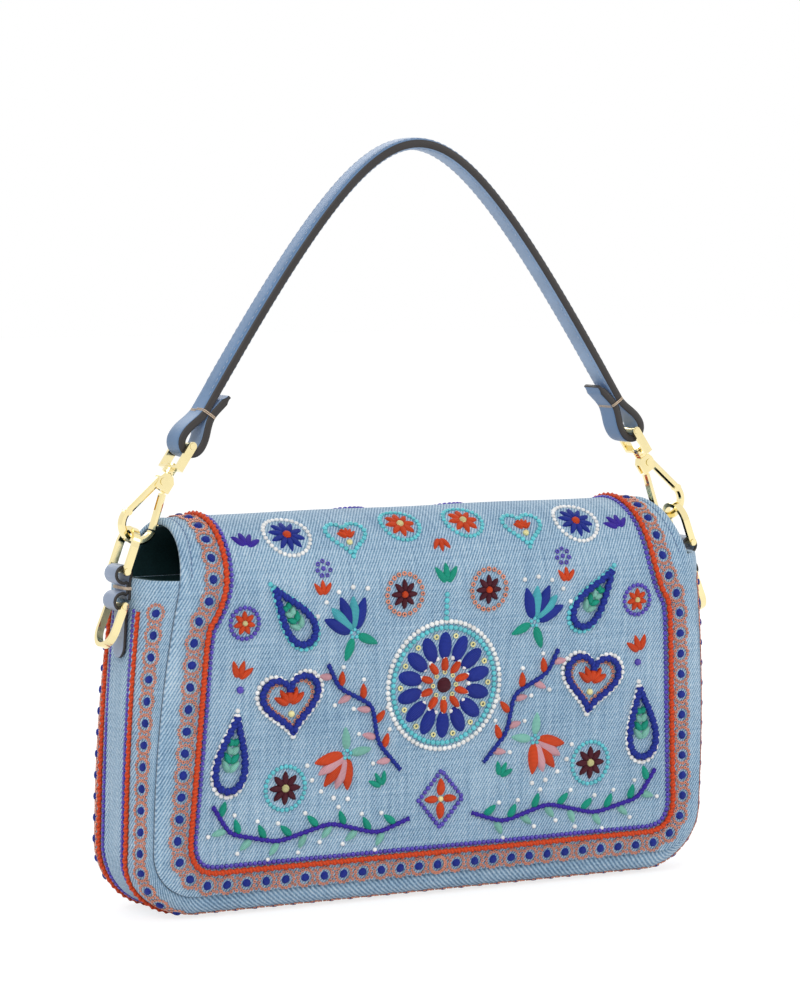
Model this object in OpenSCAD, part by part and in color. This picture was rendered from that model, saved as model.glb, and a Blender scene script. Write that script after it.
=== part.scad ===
// Baguette bag of embroidered denim: sewn body, flap over the top, and a leather handle clipped to ring tabs.
// Millimetres, +Z up. The origin is the middle of the flat base, the panel without a closure faces -Y.

/* [Body] */
// Width between the middles of the two side gussets
body_w = 272; // [200:1:360]
// Width of the gusset strip between its two seams
gusset_w = 52; // [40:1:80]
// Height of the gusset's top hem
gusset_top = 137; // [120:1:145]
// Height at which the arch over the top starts
arch_z = 129; // [110:1:135]
// Backward lean of the soft body, in degrees
lean_deg = 3.5; // [0:0.1:5]
// Thickness of denim with its interlining
cloth_t = 2.2; // [1.6:0.1:3]
// Thickness of the lining cloth
lining_t = 0.8; // [0.5:0.1:1.2]
// Gap left between neighbouring layers
layer_gap = 0.1; // [0.05:0.05:0.2]

/* [Seams] */
// How far the side seams lie in from the gusset's middle, low down
seam_in = 5.8; // [3:0.1:9]
// How far each side seam comes in at the top
seam_taper = 9.6; // [0:0.1:14]
// How far the middle of each gusset comes in at the top
gusset_taper = 4; // [0:0.1:10]
// Height above which the sides come in
taper_z = 40; // [34:1:60]
// Height of the bottom seams above the floor
seam_lift = 8; // [5:0.5:12]
// Radius of the panels' lower corners
corner_r = 19; // [12:1:24]

/* [Flap] */
// Room left between the arch's ends and the snap hooks
hook_clear = 1.6; // [1:0.1:4]
// Slope angle of the arch at which the flap starts to turn, from the level
crease_deg = 67; // [55:1:75]
// Height of the flap's lower edge
flap_bottom = 44; // [30:1:90]
// Space between the front panel and the flap over it
flap_space = 1.0; // [0.6:0.1:2]
// Height of the front panel's top edge
front_top = 134; // [115:1:134]
// Radius of the hidden magnets
magnet_r = 7.5; // [5:0.5:9]
// Thickness of the hidden magnets
magnet_t = 1.2; // [0.8:0.1:1.5]
// Height of the magnets' centre
magnet_z = 74; // [60:1:95]

/* [Base and pocket] */
// Thickness of the stiff board in the base
board_t = 1.5; // [1:0.1:2.5]
// How far the board's long edges stay in from the flat floor
board_in = 1; // [0.5:0.5:6]
// Width of the patch pocket
pocket_w = 160; // [100:1:190]
// Height of the patch pocket
pocket_h = 74; // [50:1:80]
// Width of the zip's tape
tape_h = 15; // [12:0.5:18]
// Width of the zip's chain of teeth
chain_h = 5; // [4:0.5:6]
// Height of the chain over its tape
chain_t = 1.4; // [1:0.1:2]
// Length of the zip slider
slider_l = 9; // [7:0.5:12]

/* [Tabs and rings] */
// Width of the leather tabs
tab_w = 11; // [8:0.5:14]
// Leather thickness of the tabs' loops
tab_t = 1.5; // [1:0.1:2]
// Inside radius of the tabs' loops
loop_r = 2.6; // [2.2:0.1:3.2]
// Height of the upper loop's centre
upper_loop_z = 138.2; // [132:0.1:142]
// Distance from the upper loop down to the lower loop
loop_pitch = 10.8; // [9.5:0.1:14]
// Length of the tab's tail below the lower loop
tail_l = 23; // [14:1:30]
// Inside half width of the rings
ring_in = 6.2; // [5:0.1:8]
// Thickness of the rings' bar in their own plane
ring_t = 1.8; // [1.6:0.1:2.4]
// Width of the rings' band
ring_band = 3.0; // [2.8:0.1:4]
// Height of a ring from its pin to the outside of its bow
ring_h = 18.4; // [15:0.1:24]
// Radius of the rings' pins
pin_r = 1.0; // [0.8:0.05:1.2]
// Inward tilt of the tabs, following the gusset
tab_tilt = 4; // [0:0.5:10]
// Inward tilt of the upper rings
upper_tilt = 20; // [0:1:30]
// Outward tilt of the lower rings
lower_tilt = 22; // [8:1:40]

/* [Snap hooks] */
// Tilt of the hooks from upright
hook_tilt = 34; // [26:0.5:40]
// Half the depth of the hooks' bar, in the plane of the bow
wire_r = 1.5; // [1.3:0.05:1.8]
// Width of the hooks' bar, square to the plane of the bow
wire_w = 3.3; // [3:0.1:4.4]
// Middle radius of the hooks' bow
bow_r = 7.0; // [6:0.1:9]
// Height of the gate's rivet over the bow's lowest point
boss_u = 27; // [24:0.5:32]
// Thickness of the block that holds the rivet
boss_t = 4.6; // [4.2:0.1:6.4]
// Slope of the hooks' outer arm
arm_deg = 15; // [12:0.5:20]
// Radius of the swivel post
post_r = 1.3; // [1.2:0.1:1.5]
// Inside half width of the eye between its arms
eye_in = 6.6; // [5.5:0.1:9]
// Height of the eye's bar over the bow's lowest point
eye_u = 44.5; // [42:0.5:52]
// Radius of the eye's bar
bar_r = 1.3; // [1:0.1:1.6]

/* [Handle] */
// Width of the strap
strap_w = 12; // [9:0.5:13]
// Thickness of one leather layer of the strap
strap_layer = 1.6; // [1.2:0.1:2]
// Height of the strap's middle line at the top
handle_top = 311.8; // [270:1:360]
// Roundness of the arch: a larger value is rounder
arch_round = 47; // [30:1:70]
// Distance along a hook from its eye bar up to the thread binding
binding_rise = 15; // [12:0.5:18]
// Length of the folded strap end above the binding
tail_rise = 10.5; // [6:0.5:14]

/* [Hidden] */
$fn = 48;

denim = [0.59, 0.71, 0.82];
teal = [0.07, 0.15, 0.17];
leather_blue = [0.51, 0.63, 0.77];
tab_blue = [0.6, 0.66, 0.74];
gold = [0.94, 0.88, 0.6];
thread = [0.78, 0.66, 0.5];
board_grey = [0.35, 0.35, 0.36];
steel = [0.7, 0.7, 0.72];

// Layers, measured square to the leaning walls from the middle plane
lean = tan(lean_deg);
gusset_half = gusset_w / 2;
wall_in = gusset_half + layer_gap;
wall_out = wall_in + cloth_t;
lining_out = gusset_half;
lining_in = lining_out - lining_t;
flap_lining_in = wall_out + flap_space;
flap_in = flap_lining_in + lining_t + layer_gap;
flap_out = flap_in + cloth_t;
arch_r = (wall_out + flap_out) / 2;
arch_y = (flap_out - wall_out) / 2;
arch_top = arch_z + arch_r;
body_half = body_w / 2;
seam_half = body_half - seam_in;
hem_half = seam_half - seam_taper;
flap_in_from_hem = 0.6;
flap_half = hem_half - flap_in_from_hem;
turn_gap = 0.3;

// Gusset strip: the middle line of the strip and the seam line, each from the hem down and round to the hem
side_steps = 7;
corner_steps = 7;
floor_steps = 2;
edge_steps = 5;
side_flat = 5;
floor_turn = 6;
floor_flat = gusset_half - floor_turn;
board_d = 2 * (floor_flat - board_in);
strip_corner_r = corner_r + seam_lift - 1;
lining_lift = cloth_t + board_t + 3 * layer_gap;
lining_side = cloth_t + 3 * layer_gap;
seam_clear = 0.3;

function taper_share(z) = pow(max(0, (z - taper_z) / (gusset_top - taper_z)), 2);
function taper_at(z) = seam_taper * taper_share(z);

// Half of a path: down the side, round the corner, along the floor to the middle
function half_path(side, floor_z, r, taper) = concat(
    [for (i = [0 : side_steps - 1])
        let (z = gusset_top - (gusset_top - floor_z - r) * i / side_steps)
        [side - taper * taper_share(z), z]],
    [for (i = [0 : corner_steps])
        let (a = 90 * i / corner_steps)
        [side - r + r * cos(a), floor_z + r - r * sin(a)]],
    [for (i = [1 : floor_steps]) [(side - r) * (1 - i / floor_steps), floor_z]]
);
function mirrored(path) = [for (i = [len(path) - 2 : -1 : 0]) [-path[i][0], path[i][1]]];
function whole_path(path) = concat(path, mirrored(path));
function mid_path(inset, lift) =
    whole_path(half_path(body_half - inset, lift, strip_corner_r - inset, gusset_taper));
function seam_path(inset) =
    whole_path(half_path(seam_half - inset, seam_lift + inset, corner_r - inset, seam_taper));

// Share of the flat middle at each station of the path, from the sides to the floor
half_count = side_steps + corner_steps + floor_steps + 1;
function station(k) = k < half_count ? k : 2 * (half_count - 1) - k;
function flat_at(k) =
    let (s = (station(k) - side_steps) / corner_steps)
    side_flat + (floor_flat - side_flat) * min(1, max(0, s));

// Nearest and furthest Y of a layer at a height: straight walls that lean, then the arch
function arch_reach(radius, z) = sqrt(pow(radius, 2) - pow(max(0, z - arch_z), 2));
function rear_edge(depth, z) =
    z <= arch_z ? -depth : arch_y - arch_reach(arch_y + depth, z);

// One cross-section of the strip: half ellipses at the edges and a flat middle
function strip_row(mid, seam, depth, flat) = [
    for (j = [-edge_steps : edge_steps + 1])
        let (
            side = j <= 0 ? -1 : 1,
            turn = 90 * (j <= 0 ? -j : j - 1) / edge_steps,
            share = cos(turn),
            x = seam[0] + (mid[0] - seam[0]) * share,
            z = seam[1] + (mid[1] - seam[1]) * share,
            half = side < 0 ? -rear_edge(depth, z) : depth
        )
        [x, side * (flat + (half - flat) * sin(turn)) - lean * z, z]
];
function strip_rows(mids, seams, depth) =
    [for (k = [0 : len(mids) - 1]) strip_row(mids[k], seams[k], depth, flat_at(k))];

// Closed sheet between an outer and an inner grid of points
module sheet(outer, inner) {
    rows = len(outer);
    cols = len(outer[0]);
    points = concat([for (row = outer, p = row) p], [for (row = inner, p = row) p]);
    half = rows * cols;
    outside = [for (i = [0 : rows - 2], j = [0 : cols - 2])
        let (a = i * cols + j, b = a + 1, c = a + cols, d = c + 1)
        each [[a, b, d], [a, d, c]]];
    inside = [for (i = [0 : rows - 2], j = [0 : cols - 2])
        let (a = half + i * cols + j, b = a + 1, c = a + cols, d = c + 1)
        each [[a, d, b], [a, c, d]]];
    first_edge = [for (i = [0 : rows - 2])
        let (a = i * cols, c = a + cols)
        each [[a, c, half + c], [a, half + c, half + a]]];
    last_edge = [for (i = [0 : rows - 2])
        let (a = i * cols + cols - 1, c = a + cols)
        each [[c, a, half + a], [c, half + a, half + c]]];
    first_end = [for (j = [0 : cols - 2])
        each [[j + 1, j, half + j], [j + 1, half + j, half + j + 1]]];
    last_end = [for (j = [0 : cols - 2])
        let (a = (rows - 1) * cols + j)
        each [[a, a + 1, half + a + 1], [a, half + a + 1, half + a]]];
    polyhedron(points, concat(outside, inside, first_edge, last_edge, first_end, last_end));
}

// Upright outline of a panel, seen from the rear, extruded from front to back
far = 3 * gusset_w;
module outline_prism(inset, top_z, top_half) {
    path = seam_path(inset);
    outline = concat([[top_half, top_z]], path, [[-top_half, top_z]]);
    rotate([90, 0, 0]) linear_extrude(2 * far, center = true) polygon(outline);
}

// Side view of a wall layer on one side (-1 rear, 1 front), extruded across the bag
module wall_prism(side, near, deep, low, high) {
    corners = [
        [side * near - lean * low, low], [side * deep - lean * low, low],
        [side * deep - lean * high, high], [side * near - lean * high, high]
    ];
    across() polygon(corners);
}
module across() {
    rotate([90, 0, 90]) linear_extrude(2 * body_w, center = true) children();
}

// Side view of a layer of the arch between two angles, measured from the front level
module arch_prism(r_in, r_out, a, b) {
    middle = (a + b) / 2;
    reach = 4 * arch_r;
    across() translate([arch_y - lean * arch_z, arch_z]) difference() {
        intersection() {
            circle(r_out, $fn = 96);
            polygon([
                [0, 0], [reach * cos(a), reach * sin(a)],
                [reach * cos(middle), reach * sin(middle)], [reach * cos(b), reach * sin(b)]
            ]);
        }
        circle(r_in, $fn = 96);
    }
}

// Point of the arch's outside at an angle
function arch_point(r, a) = [arch_y - lean * arch_z + r * cos(a), arch_z + r * sin(a)];
turn_deg = turn_gap / arch_r * 180 / PI;

module gusset_strip() color(denim)
    sheet(
        strip_rows(mid_path(0, 0), seam_path(0), gusset_half),
        strip_rows(mid_path(cloth_t, cloth_t), seam_path(cloth_t), gusset_half)
    );

module gusset_lining() color(teal)
    sheet(
        strip_rows(mid_path(lining_side, lining_lift), seam_path(lining_side), lining_in - layer_gap),
        strip_rows(mid_path(lining_side + lining_t, lining_lift + lining_t),
            seam_path(lining_side + lining_t), lining_in - layer_gap)
    );

module rear_panel() color(denim) intersection() {
    outline_prism(0, arch_top, crest_half);
    union() {
        wall_prism(-1, wall_in, wall_out, 0, arch_z);
        arch_prism(arch_r - cloth_t, arch_r, crease_deg + turn_deg, 180);
    }
}

module front_panel() color(denim) difference() {
    intersection() {
        outline_prism(0, front_top, hem_half + taper_slack());
        wall_prism(1, wall_in, wall_out, 0, front_top);
    }
    magnet_seat(wall_in, 1);
}
// The front panel stops below the hem, so its top corners lie on the seam at that height
function taper_slack() = seam_taper - taper_at(front_top);

module rear_lining() color(teal) intersection() {
    outline_prism(lining_side, arch_top, crest_half - lining_side);
    union() {
        wall_prism(-1, lining_in, lining_out, seam_lift, arch_z);
        arch_prism(arch_y + lining_in, arch_y + lining_out, crease_deg + turn_deg, 180);
    }
}

module front_lining() color(teal) intersection() {
    outline_prism(lining_side, front_top, hem_half + taper_slack() - lining_side);
    wall_prism(1, lining_in, lining_out, seam_lift, front_top);
}

module base_board() color(board_grey)
    translate([0, -lean * (cloth_t + layer_gap), cloth_t + layer_gap + board_t / 2])
        cube([2 * (body_half - strip_corner_r), board_d, board_t], center = true);

// Seat and disc of a magnet, square to the leaning wall, growing outwards from a depth
module on_wall(depth, z) {
    translate([0, depth - lean * z, z]) rotate([lean_deg, 0, 0]) children();
}
module magnet_disc(r, t) {
    rotate([-90, 0, 0]) cylinder(r = r, h = t);
}
module magnet_seat(depth, below) {
    on_wall(depth, magnet_z) translate([0, -below, 0])
        magnet_disc(magnet_r + layer_gap, magnet_t + 2 * layer_gap + below);
}
module front_magnet() color(steel)
    on_wall(wall_in + layer_gap, magnet_z) magnet_disc(magnet_r, magnet_t);

module flap_outline() {
    low_r = corner_r;
    span = flap_half - low_r;
    rotate([90, 0, 0]) linear_extrude(2 * far, center = true) union() {
        polygon([
            [-flap_half, flap_bottom + low_r], [flap_half, flap_bottom + low_r], [flap_half, arch_z],
            [crest_half, arch_top], [-crest_half, arch_top], [-flap_half, arch_z]
        ]);
        translate([-span, flap_bottom]) square([2 * span, low_r + 1]);
        for (side = [-1, 1]) translate([side * span, flap_bottom + low_r]) circle(low_r);
    }
}
module flap_panel() color(denim) difference() {
    intersection() {
        flap_outline();
        union() {
            wall_prism(1, flap_in, flap_out, 0, arch_z);
            arch_prism(arch_r - cloth_t, arch_r, 0, crease_deg);
        }
    }
    magnet_seat(flap_in, 1);
}
module flap_lining() color(teal) intersection() {
    flap_outline();
    union() {
        wall_prism(1, flap_lining_in, flap_lining_in + lining_t, 0, arch_z);
        arch_prism(arch_r - cloth_t - layer_gap - lining_t, arch_r - cloth_t - layer_gap, 0, crease_deg);
    }
}
module flap_magnet() color(steel)
    on_wall(flap_in + layer_gap, magnet_z) magnet_disc(magnet_r, magnet_t);

// Patch pocket with a zip on the inside of the rear lining; local +Y points into the bag
zip_z = 114;
chain_end = 4;
patch_t = 0.8;
tape_t = 0.5;
slide_gap = 0.2;
slider_h = chain_h + 4;
roof_t = 1;
ear_t = 1;
bail_r = 0.6;
pull_l = 16;
pull_t = 1;
pull_w = 4;
bail_y = tape_t + chain_t + 2 * slide_gap + roof_t + bail_r + 0.9;
module pocket_frame() {
    on_wall(-lining_in + layer_gap, zip_z) children();
}
module pocket_patch() color(teal) pocket_frame()
    translate([-pocket_w / 2, 0, -tape_h / 2 - pocket_h - layer_gap]) cube([pocket_w, patch_t, pocket_h]);
module zip_tape() color(teal) pocket_frame()
    translate([-pocket_w / 2, 0, -tape_h / 2]) cube([pocket_w, tape_t, tape_h]);
module zip_chain() color(gold) pocket_frame()
    translate([-pocket_w / 2 + chain_end, tape_t, -chain_h / 2])
        cube([pocket_w - 2 * chain_end, chain_t, chain_h]);
module zip_slider() color(gold) pocket_frame() {
    roof_y = tape_t + chain_t + slide_gap;
    difference() {
        translate([-slider_l / 2, tape_t + slide_gap, -slider_h / 2])
            cube([slider_l, roof_y + roof_t - tape_t - slide_gap, slider_h]);
        translate([-slider_l, 0, -chain_h / 2 - slide_gap]) cube([2 * slider_l, roof_y, chain_h + 2 * slide_gap]);
    }
    for (side = [-1, 1]) translate([side * (pull_w / 2 + slide_gap + ear_t / 2), 0, 0]) {
        translate([-ear_t / 2, roof_y + roof_t - 0.2, -1.2]) cube([ear_t, bail_y - roof_y - roof_t + 0.2, 2.4]);
        translate([0, bail_y, 0]) rotate([0, 90, 0]) cylinder(r = 1.2, h = ear_t, center = true);
    }
    translate([0, bail_y, 0]) rotate([0, 90, 0])
        cylinder(r = bail_r, h = pull_w + 2 * slide_gap + ear_t, center = true);
}
module zip_pull() color(gold) pocket_frame() translate([0, bail_y, 0]) difference() {
    union() {
        rotate([0, 90, 0]) cylinder(r = bail_r + 0.7, h = pull_w, center = true);
        translate([-pull_w / 2, -pull_t / 2, -pull_l]) cube([pull_w, pull_t, pull_l]);
    }
    rotate([0, 90, 0]) cylinder(r = bail_r + 0.08, h = 2 * pull_w, center = true);
}

// Hardware on the right; the left is its mirror image
hardware_y = -lean * gusset_top;
tab_x = seam_clear;
tab_back = 1.0;
loop_out = loop_r + tab_t;
loop_x = tab_x + tab_back + loop_r;
pin_play = 0.1;
pin_shift = loop_r - pin_r - pin_play;
waist_t = 2.6;
waist_h = 5;
tail_t = 2.3;
thread_t = 0.4;
stitch_h = 1.2;
module on_side(side) {
    if (side < 0) mirror([1, 0, 0]) children();
    else children();
}
module along_y(length) {
    rotate([90, 0, 0]) linear_extrude(length, center = true) children();
}

// Tab frame: +X out of the gusset, +Z up along it, the upper loop's centre at height 0
tab_base = body_half - gusset_taper * taper_share(upper_loop_z);
module tab_place(side) {
    on_side(side) translate([tab_base, hardware_y, upper_loop_z]) rotate([0, -tab_tilt, 0]) children();
}
// Point of the tab frame as world X and Z
function tab_point(x, z) = [
    tab_base + x * cos(tab_tilt) - z * sin(tab_tilt),
    upper_loop_z + x * sin(tab_tilt) + z * cos(tab_tilt)
];
upper_pin = tab_point(loop_x, pin_shift);
lower_pin = tab_point(loop_x, -loop_pitch - pin_shift);

module tab(side) color(tab_blue) tab_place(side) intersection() {
    tail_z = -loop_pitch - tail_l;
    along_y(tab_w) difference() {
        union() {
            for (z = [0, -loop_pitch]) translate([loop_x, z]) circle(loop_out);
            translate([tab_x, tail_z]) square([tail_t, tail_l]);
            translate([tab_x, -loop_pitch]) square([tab_back, loop_pitch]);
            translate([tab_x, -loop_pitch / 2 - waist_h / 2]) square([waist_t, waist_h]);
        }
        for (z = [0, -loop_pitch]) translate([loop_x, z]) circle(loop_r);
        translate([tab_x - 2 * loop_out, tail_z]) square([2 * loop_out, 3 * loop_pitch + tail_l]);
    }
    rotate([90, 0, 90]) linear_extrude(loop_x + loop_out + 1) union() {
        translate([0, tail_z + tab_w / 2]) circle(tab_w / 2);
        translate([-tab_w / 2, tail_z + tab_w / 2]) square([tab_w, 2 * loop_pitch + tail_l]);
    }
}

// Stitched thread round the tab's waist, as one bar with its two turned ends
module tab_thread(side) color(thread) tab_place(side)
    translate([tab_x, 0, -loop_pitch / 2]) difference() {
        translate([0, -tab_w / 2 - thread_t, -stitch_h / 2])
            cube([waist_t + thread_t, tab_w + 2 * thread_t, stitch_h]);
        translate([-1, -tab_w / 2 - layer_gap / 2, -stitch_h])
            cube([waist_t + layer_gap / 2 + 1, tab_w + layer_gap, 2 * stitch_h]);
    }

// Ring in its own frame: pin along Y at the origin, bow towards +Z
module ring_body() color(gold) {
    out = ring_in + ring_t;
    bow_z = ring_h - out;
    difference() {
        intersection() {
            rotate([90, 0, 90]) linear_extrude(ring_band, center = true) difference() {
                union() {
                    translate([0, bow_z]) circle(out);
                    translate([-out, -ring_band]) square([2 * out, bow_z + ring_band]);
                }
                translate([0, bow_z]) circle(ring_in);
                translate([-ring_in, -2 * ring_band]) square([2 * ring_in, bow_z + 2 * ring_band]);
            }
            along_y(3 * out) union() {
                circle(ring_band / 2);
                translate([-ring_band / 2, 0]) square([ring_band, 2 * ring_h]);
            }
        }
        rotate([90, 0, 0]) cylinder(r = pin_r + 0.05, h = 4 * out, center = true);
    }
}
module ring_pin() color(gold) {
    out = ring_in + ring_t + layer_gap;
    head_t = 0.5;
    rotate([90, 0, 0]) cylinder(r = pin_r, h = 2 * out, center = true);
    for (side = [-1, 1]) translate([0, side * (out + head_t / 2), 0])
        rotate([90, 0, 0]) cylinder(r = 1.4 * pin_r, h = head_t, center = true);
}
module upper_place(side) {
    on_side(side) translate([upper_pin[0], hardware_y, upper_pin[1]]) rotate([0, -upper_tilt, 0]) children();
}
module lower_place(side) {
    on_side(side) translate([lower_pin[0], hardware_y, lower_pin[1]])
        rotate([0, 180 - lower_tilt, 0]) children();
}

// Hook in its own frame: the bow's lowest point at the origin, its axis along +Z, its outer arm at +X
hook_play = 1.8;
boss_x = 0.5;
tip_gap = 0.5;
tip_in = 0.2;
tip_rise = 1.2;
bow_mid = ring_h - ring_t / 2;
seat = ring_t / 2 + wire_r + hook_play;
hook_x = upper_pin[0] - (bow_mid - seat) * sin(upper_tilt);
hook_z = upper_pin[1] + (bow_mid - seat) * cos(upper_tilt);

// The gate hangs from its rivet, with its bar set off to the inner side
gate_off = 1.9;
gate_half = 1.4;
gate_w = 3.2;
gate_rest = [boss_x + bow_r - tip_in, boss_u - bow_r - tip_rise];
gate_deg = atan2(gate_rest[0], gate_rest[1]) - asin(gate_off / norm(gate_rest));
gate_l = sqrt(pow(norm(gate_rest), 2) - pow(gate_off, 2)) - tip_gap / 2;
knob_at = 0.9 * gate_l;
knob_l = 0.3;
knob_r = 0.9;
knob_out = gate_off + gate_half + knob_l;
knob_x = boss_x - knob_at * sin(gate_deg) - knob_out * cos(gate_deg);
knob_u = boss_u - knob_at * cos(gate_deg) + knob_out * sin(gate_deg);
knob_inner_x = hook_x + knob_x * cos(hook_tilt) - knob_u * sin(hook_tilt) - knob_r;
bow_inner_x = hook_x - bow_r * sin(hook_tilt) - bow_r - wire_r;
crest_half = min(hem_half, bow_inner_x - hook_clear, knob_inner_x - hook_clear);

// Block round the rivet, seen square to the bow, and the swivel above it
nose_deg = -185;
wire_chamfer = 0.8;
arm_l = (boss_u - bow_r - bow_r * sin(arm_deg)) / cos(arm_deg);
joint_swell = 0.08;
block_low = 3.4;
block_high = 3.6;
block_in = 3.9;
block_out = 3.0;
block_rise = 1.4;
slot_half = 0.95;
slot_x = 1.5;
slot_low = 4.8;
tongue_r = 2.0;
tongue_t = 1.0;
tongue_side = -0.35;
rivet_r = 0.9;
rivet_head_r = 1.6;
rivet_head_t = 0.4;
neck_r = 2.1;
swivel_gap = 0.2;
post_gap = 0.1;
collar_u = boss_u + block_high + swivel_gap + 0.4;
collar_r = 2.7;
rib_count = 3;
rib_t = 0.8;
rib_pitch = 1.15;
collar_h = (rib_count - 1) * rib_pitch + rib_t;
bridge_t = 1.1;
head_r = 2.3;
head_t = 1.1;
module hook_place(side) {
    on_side(side) translate([hook_x, hardware_y, hook_z]) rotate([0, -hook_tilt, 0]) children();
}
module gate_frame() {
    translate([boss_x, 0, boss_u]) rotate([0, gate_deg, 0]) children();
}
// Rectangle with cut corners: the first half size lies in the plane of the bow
module bar_section(half_depth, half_width) {
    polygon([
        [half_depth, half_width - wire_chamfer], [half_depth - wire_chamfer, half_width],
        [wire_chamfer - half_depth, half_width], [-half_depth, half_width - wire_chamfer],
        [-half_depth, wire_chamfer - half_width], [wire_chamfer - half_depth, -half_width],
        [half_depth - wire_chamfer, -half_width], [half_depth, wire_chamfer - half_width]
    ]);
}

module hook_body(side) color(gold) hook_place(side) difference() {
    arm_foot = [bow_r * cos(arm_deg), 0, bow_r + bow_r * sin(arm_deg)];
    union() {
        translate([0, 0, bow_r]) rotate([90, 0, 0]) rotate([0, 0, nose_deg])
            rotate_extrude(angle = arm_deg - nose_deg) translate([bow_r, 0]) bar_section(wire_r, wire_w / 2);
        translate(arm_foot) rotate([0, -arm_deg, 0]) linear_extrude(arm_l) bar_section(wire_r, wire_w / 2);
        translate(arm_foot) rotate([90, 0, 0])
            cylinder(r = wire_r + joint_swell, h = wire_w + 2 * joint_swell, center = true);
        along_y(boss_t) polygon([
            [-block_in, boss_u - block_low], [block_out, boss_u - block_low],
            [block_out, boss_u + block_rise], [neck_r + joint_swell, boss_u + block_high],
            [-neck_r - joint_swell, boss_u + block_high], [-block_in, boss_u + block_rise]
        ]);
        translate([0, 0, boss_u + block_rise])
            cylinder(r = neck_r, h = collar_u - swivel_gap - boss_u - block_rise);
        translate([0, 0, boss_u + block_high])
            cylinder(r = post_r, h = collar_u + collar_h + 2 * swivel_gap - boss_u - block_high);
        translate([0, 0, collar_u + collar_h + swivel_gap]) cylinder(r = head_r, h = head_t);
    }
    gate_frame() {
        rotate([90, 0, 0]) cylinder(r = tongue_r + swivel_gap, h = 2 * slot_half, center = true);
        translate([-2 * block_in, -slot_half, -slot_low]) cube([2 * block_in + slot_x, 2 * slot_half, slot_low]);
        rotate([90, 0, 0]) cylinder(r = rivet_r + 0.05, h = 2 * boss_t, center = true);
    }
}

// Gate: a bar with a groove in its inner face, and a flat tongue that turns on the rivet in the block's slot
module hook_gate(side) color(gold) hook_place(side) gate_frame() {
    start = block_low + 1.4;
    groove_w = 1.4;
    groove_d = 1.3;
    groove_l = 0.6 * gate_l;
    difference() {
        union() {
            rotate([90, 0, 0]) translate([0, 0, -tongue_side]) linear_extrude(tongue_t, center = true) union() {
                circle(tongue_r);
                polygon([
                    [tongue_r - swivel_gap, 0], [-tongue_r, 0],
                    [-gate_off - gate_half + wire_chamfer, -start - tongue_t], [-gate_off, -start - tongue_t]
                ]);
            }
            translate([-gate_off, 0, -gate_l]) linear_extrude(gate_l - start) bar_section(gate_half, gate_w / 2);
            translate([-knob_out, 0, -knob_at]) rotate([0, 90, 0]) cylinder(r = knob_r, h = gate_half + knob_l);
        }
        rotate([90, 0, 0]) cylinder(r = rivet_r + 0.06, h = 2 * boss_t, center = true);
        translate([-gate_off + gate_half - groove_d, -groove_w / 2, -groove_l])
            cube([2 * groove_d, groove_w, groove_l - start - tongue_t]);
    }
}

module gate_rivet(side) color(gold) hook_place(side) gate_frame() {
    half = boss_t / 2 + layer_gap;
    rotate([90, 0, 0]) cylinder(r = rivet_r, h = 2 * half, center = true);
    for (end = [-1, 1]) translate([0, end * (half + rivet_head_t / 2), 0])
        rotate([90, 0, 0]) cylinder(r = rivet_head_r, h = rivet_head_t, center = true);
}

// Two close turns of the torsion spring round the rivet, beside the gate's tongue
spring_wire = 0.15;
spring_pitch = 0.26;
spring_r = rivet_r + 0.35;
module gate_spring(side) color(steel) hook_place(side) gate_frame() {
    for (turn = [0, 1]) translate([0, tongue_side + tongue_t / 2 + 0.25 + turn * spring_pitch, 0])
        rotate([90, 0, 0]) rotate_extrude() translate([spring_r, 0]) circle(spring_wire, $fn = 16);
}

// Eye: a ribbed collar that turns on the post, a thin bridge, and two flat arms up to the bar
module hook_eye(side) color(gold) hook_place(side) {
    arm_t = 1.5;
    arm_half = 1.8;
    bridge_u = collar_u + collar_h - bridge_t;
    core_r = collar_r - 0.4;
    difference() {
        union() {
            translate([0, 0, collar_u]) cylinder(r = core_r, h = collar_h);
            for (rib = [0 : rib_count - 1]) translate([0, 0, collar_u + rib * rib_pitch])
                cylinder(r = collar_r, h = rib_t);
            translate([-arm_half, -eye_in - arm_t, bridge_u])
                cube([2 * arm_half, 2 * (eye_in + arm_t), bridge_t]);
            for (end = [-1, 1]) translate([0, end * (eye_in + arm_t / 2), 0]) {
                translate([-arm_half, -arm_t / 2, bridge_u]) cube([2 * arm_half, arm_t, eye_u - bridge_u]);
                translate([0, 0, eye_u]) rotate([90, 0, 0]) cylinder(r = arm_half, h = arm_t, center = true);
            }
        }
        translate([0, 0, collar_u - 1]) cylinder(r = post_r + post_gap, h = collar_h + 2);
        translate([0, 0, eye_u]) rotate([90, 0, 0]) cylinder(r = bar_r + 0.05, h = 4 * eye_in, center = true);
    }
}
module eye_bar(side) color(gold) hook_place(side)
    translate([0, 0, eye_u]) rotate([90, 0, 0]) cylinder(r = bar_r, h = 2 * eye_in + 3.4, center = true);

// Strap end folded round the eye bar: a teardrop loop, and the tail beside the strap above the binding
strap_t = 2 * strap_layer;
fold_in = bar_r + 1.9;
fold_out = fold_in + strap_t;
fold_u = eye_u + fold_in - bar_r - 0.2;
bind_u = eye_u + binding_rise;
bind_h = 1.6;
end_gap = 0.1;
// Outline of a teardrop: an arc below, and straight sides to a flat tip
drop_steps = 16;
function tangent_deg(r, tip) =
    let (reach = tip - [0, fold_u], d = norm(reach))
    atan2(reach[1], reach[0]) - acos(r / d);
function drop_arc(r, a) = [
    for (i = [0 : drop_steps])
        let (t = a - (180 + 2 * a) * i / drop_steps)
        [r * cos(t), fold_u + r * sin(t)]
];
tail_flare = 12;
tail_half = strap_t / 2 - 0.4;
hole_tip = 0.2;
hole_drop = 2.5;
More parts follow.
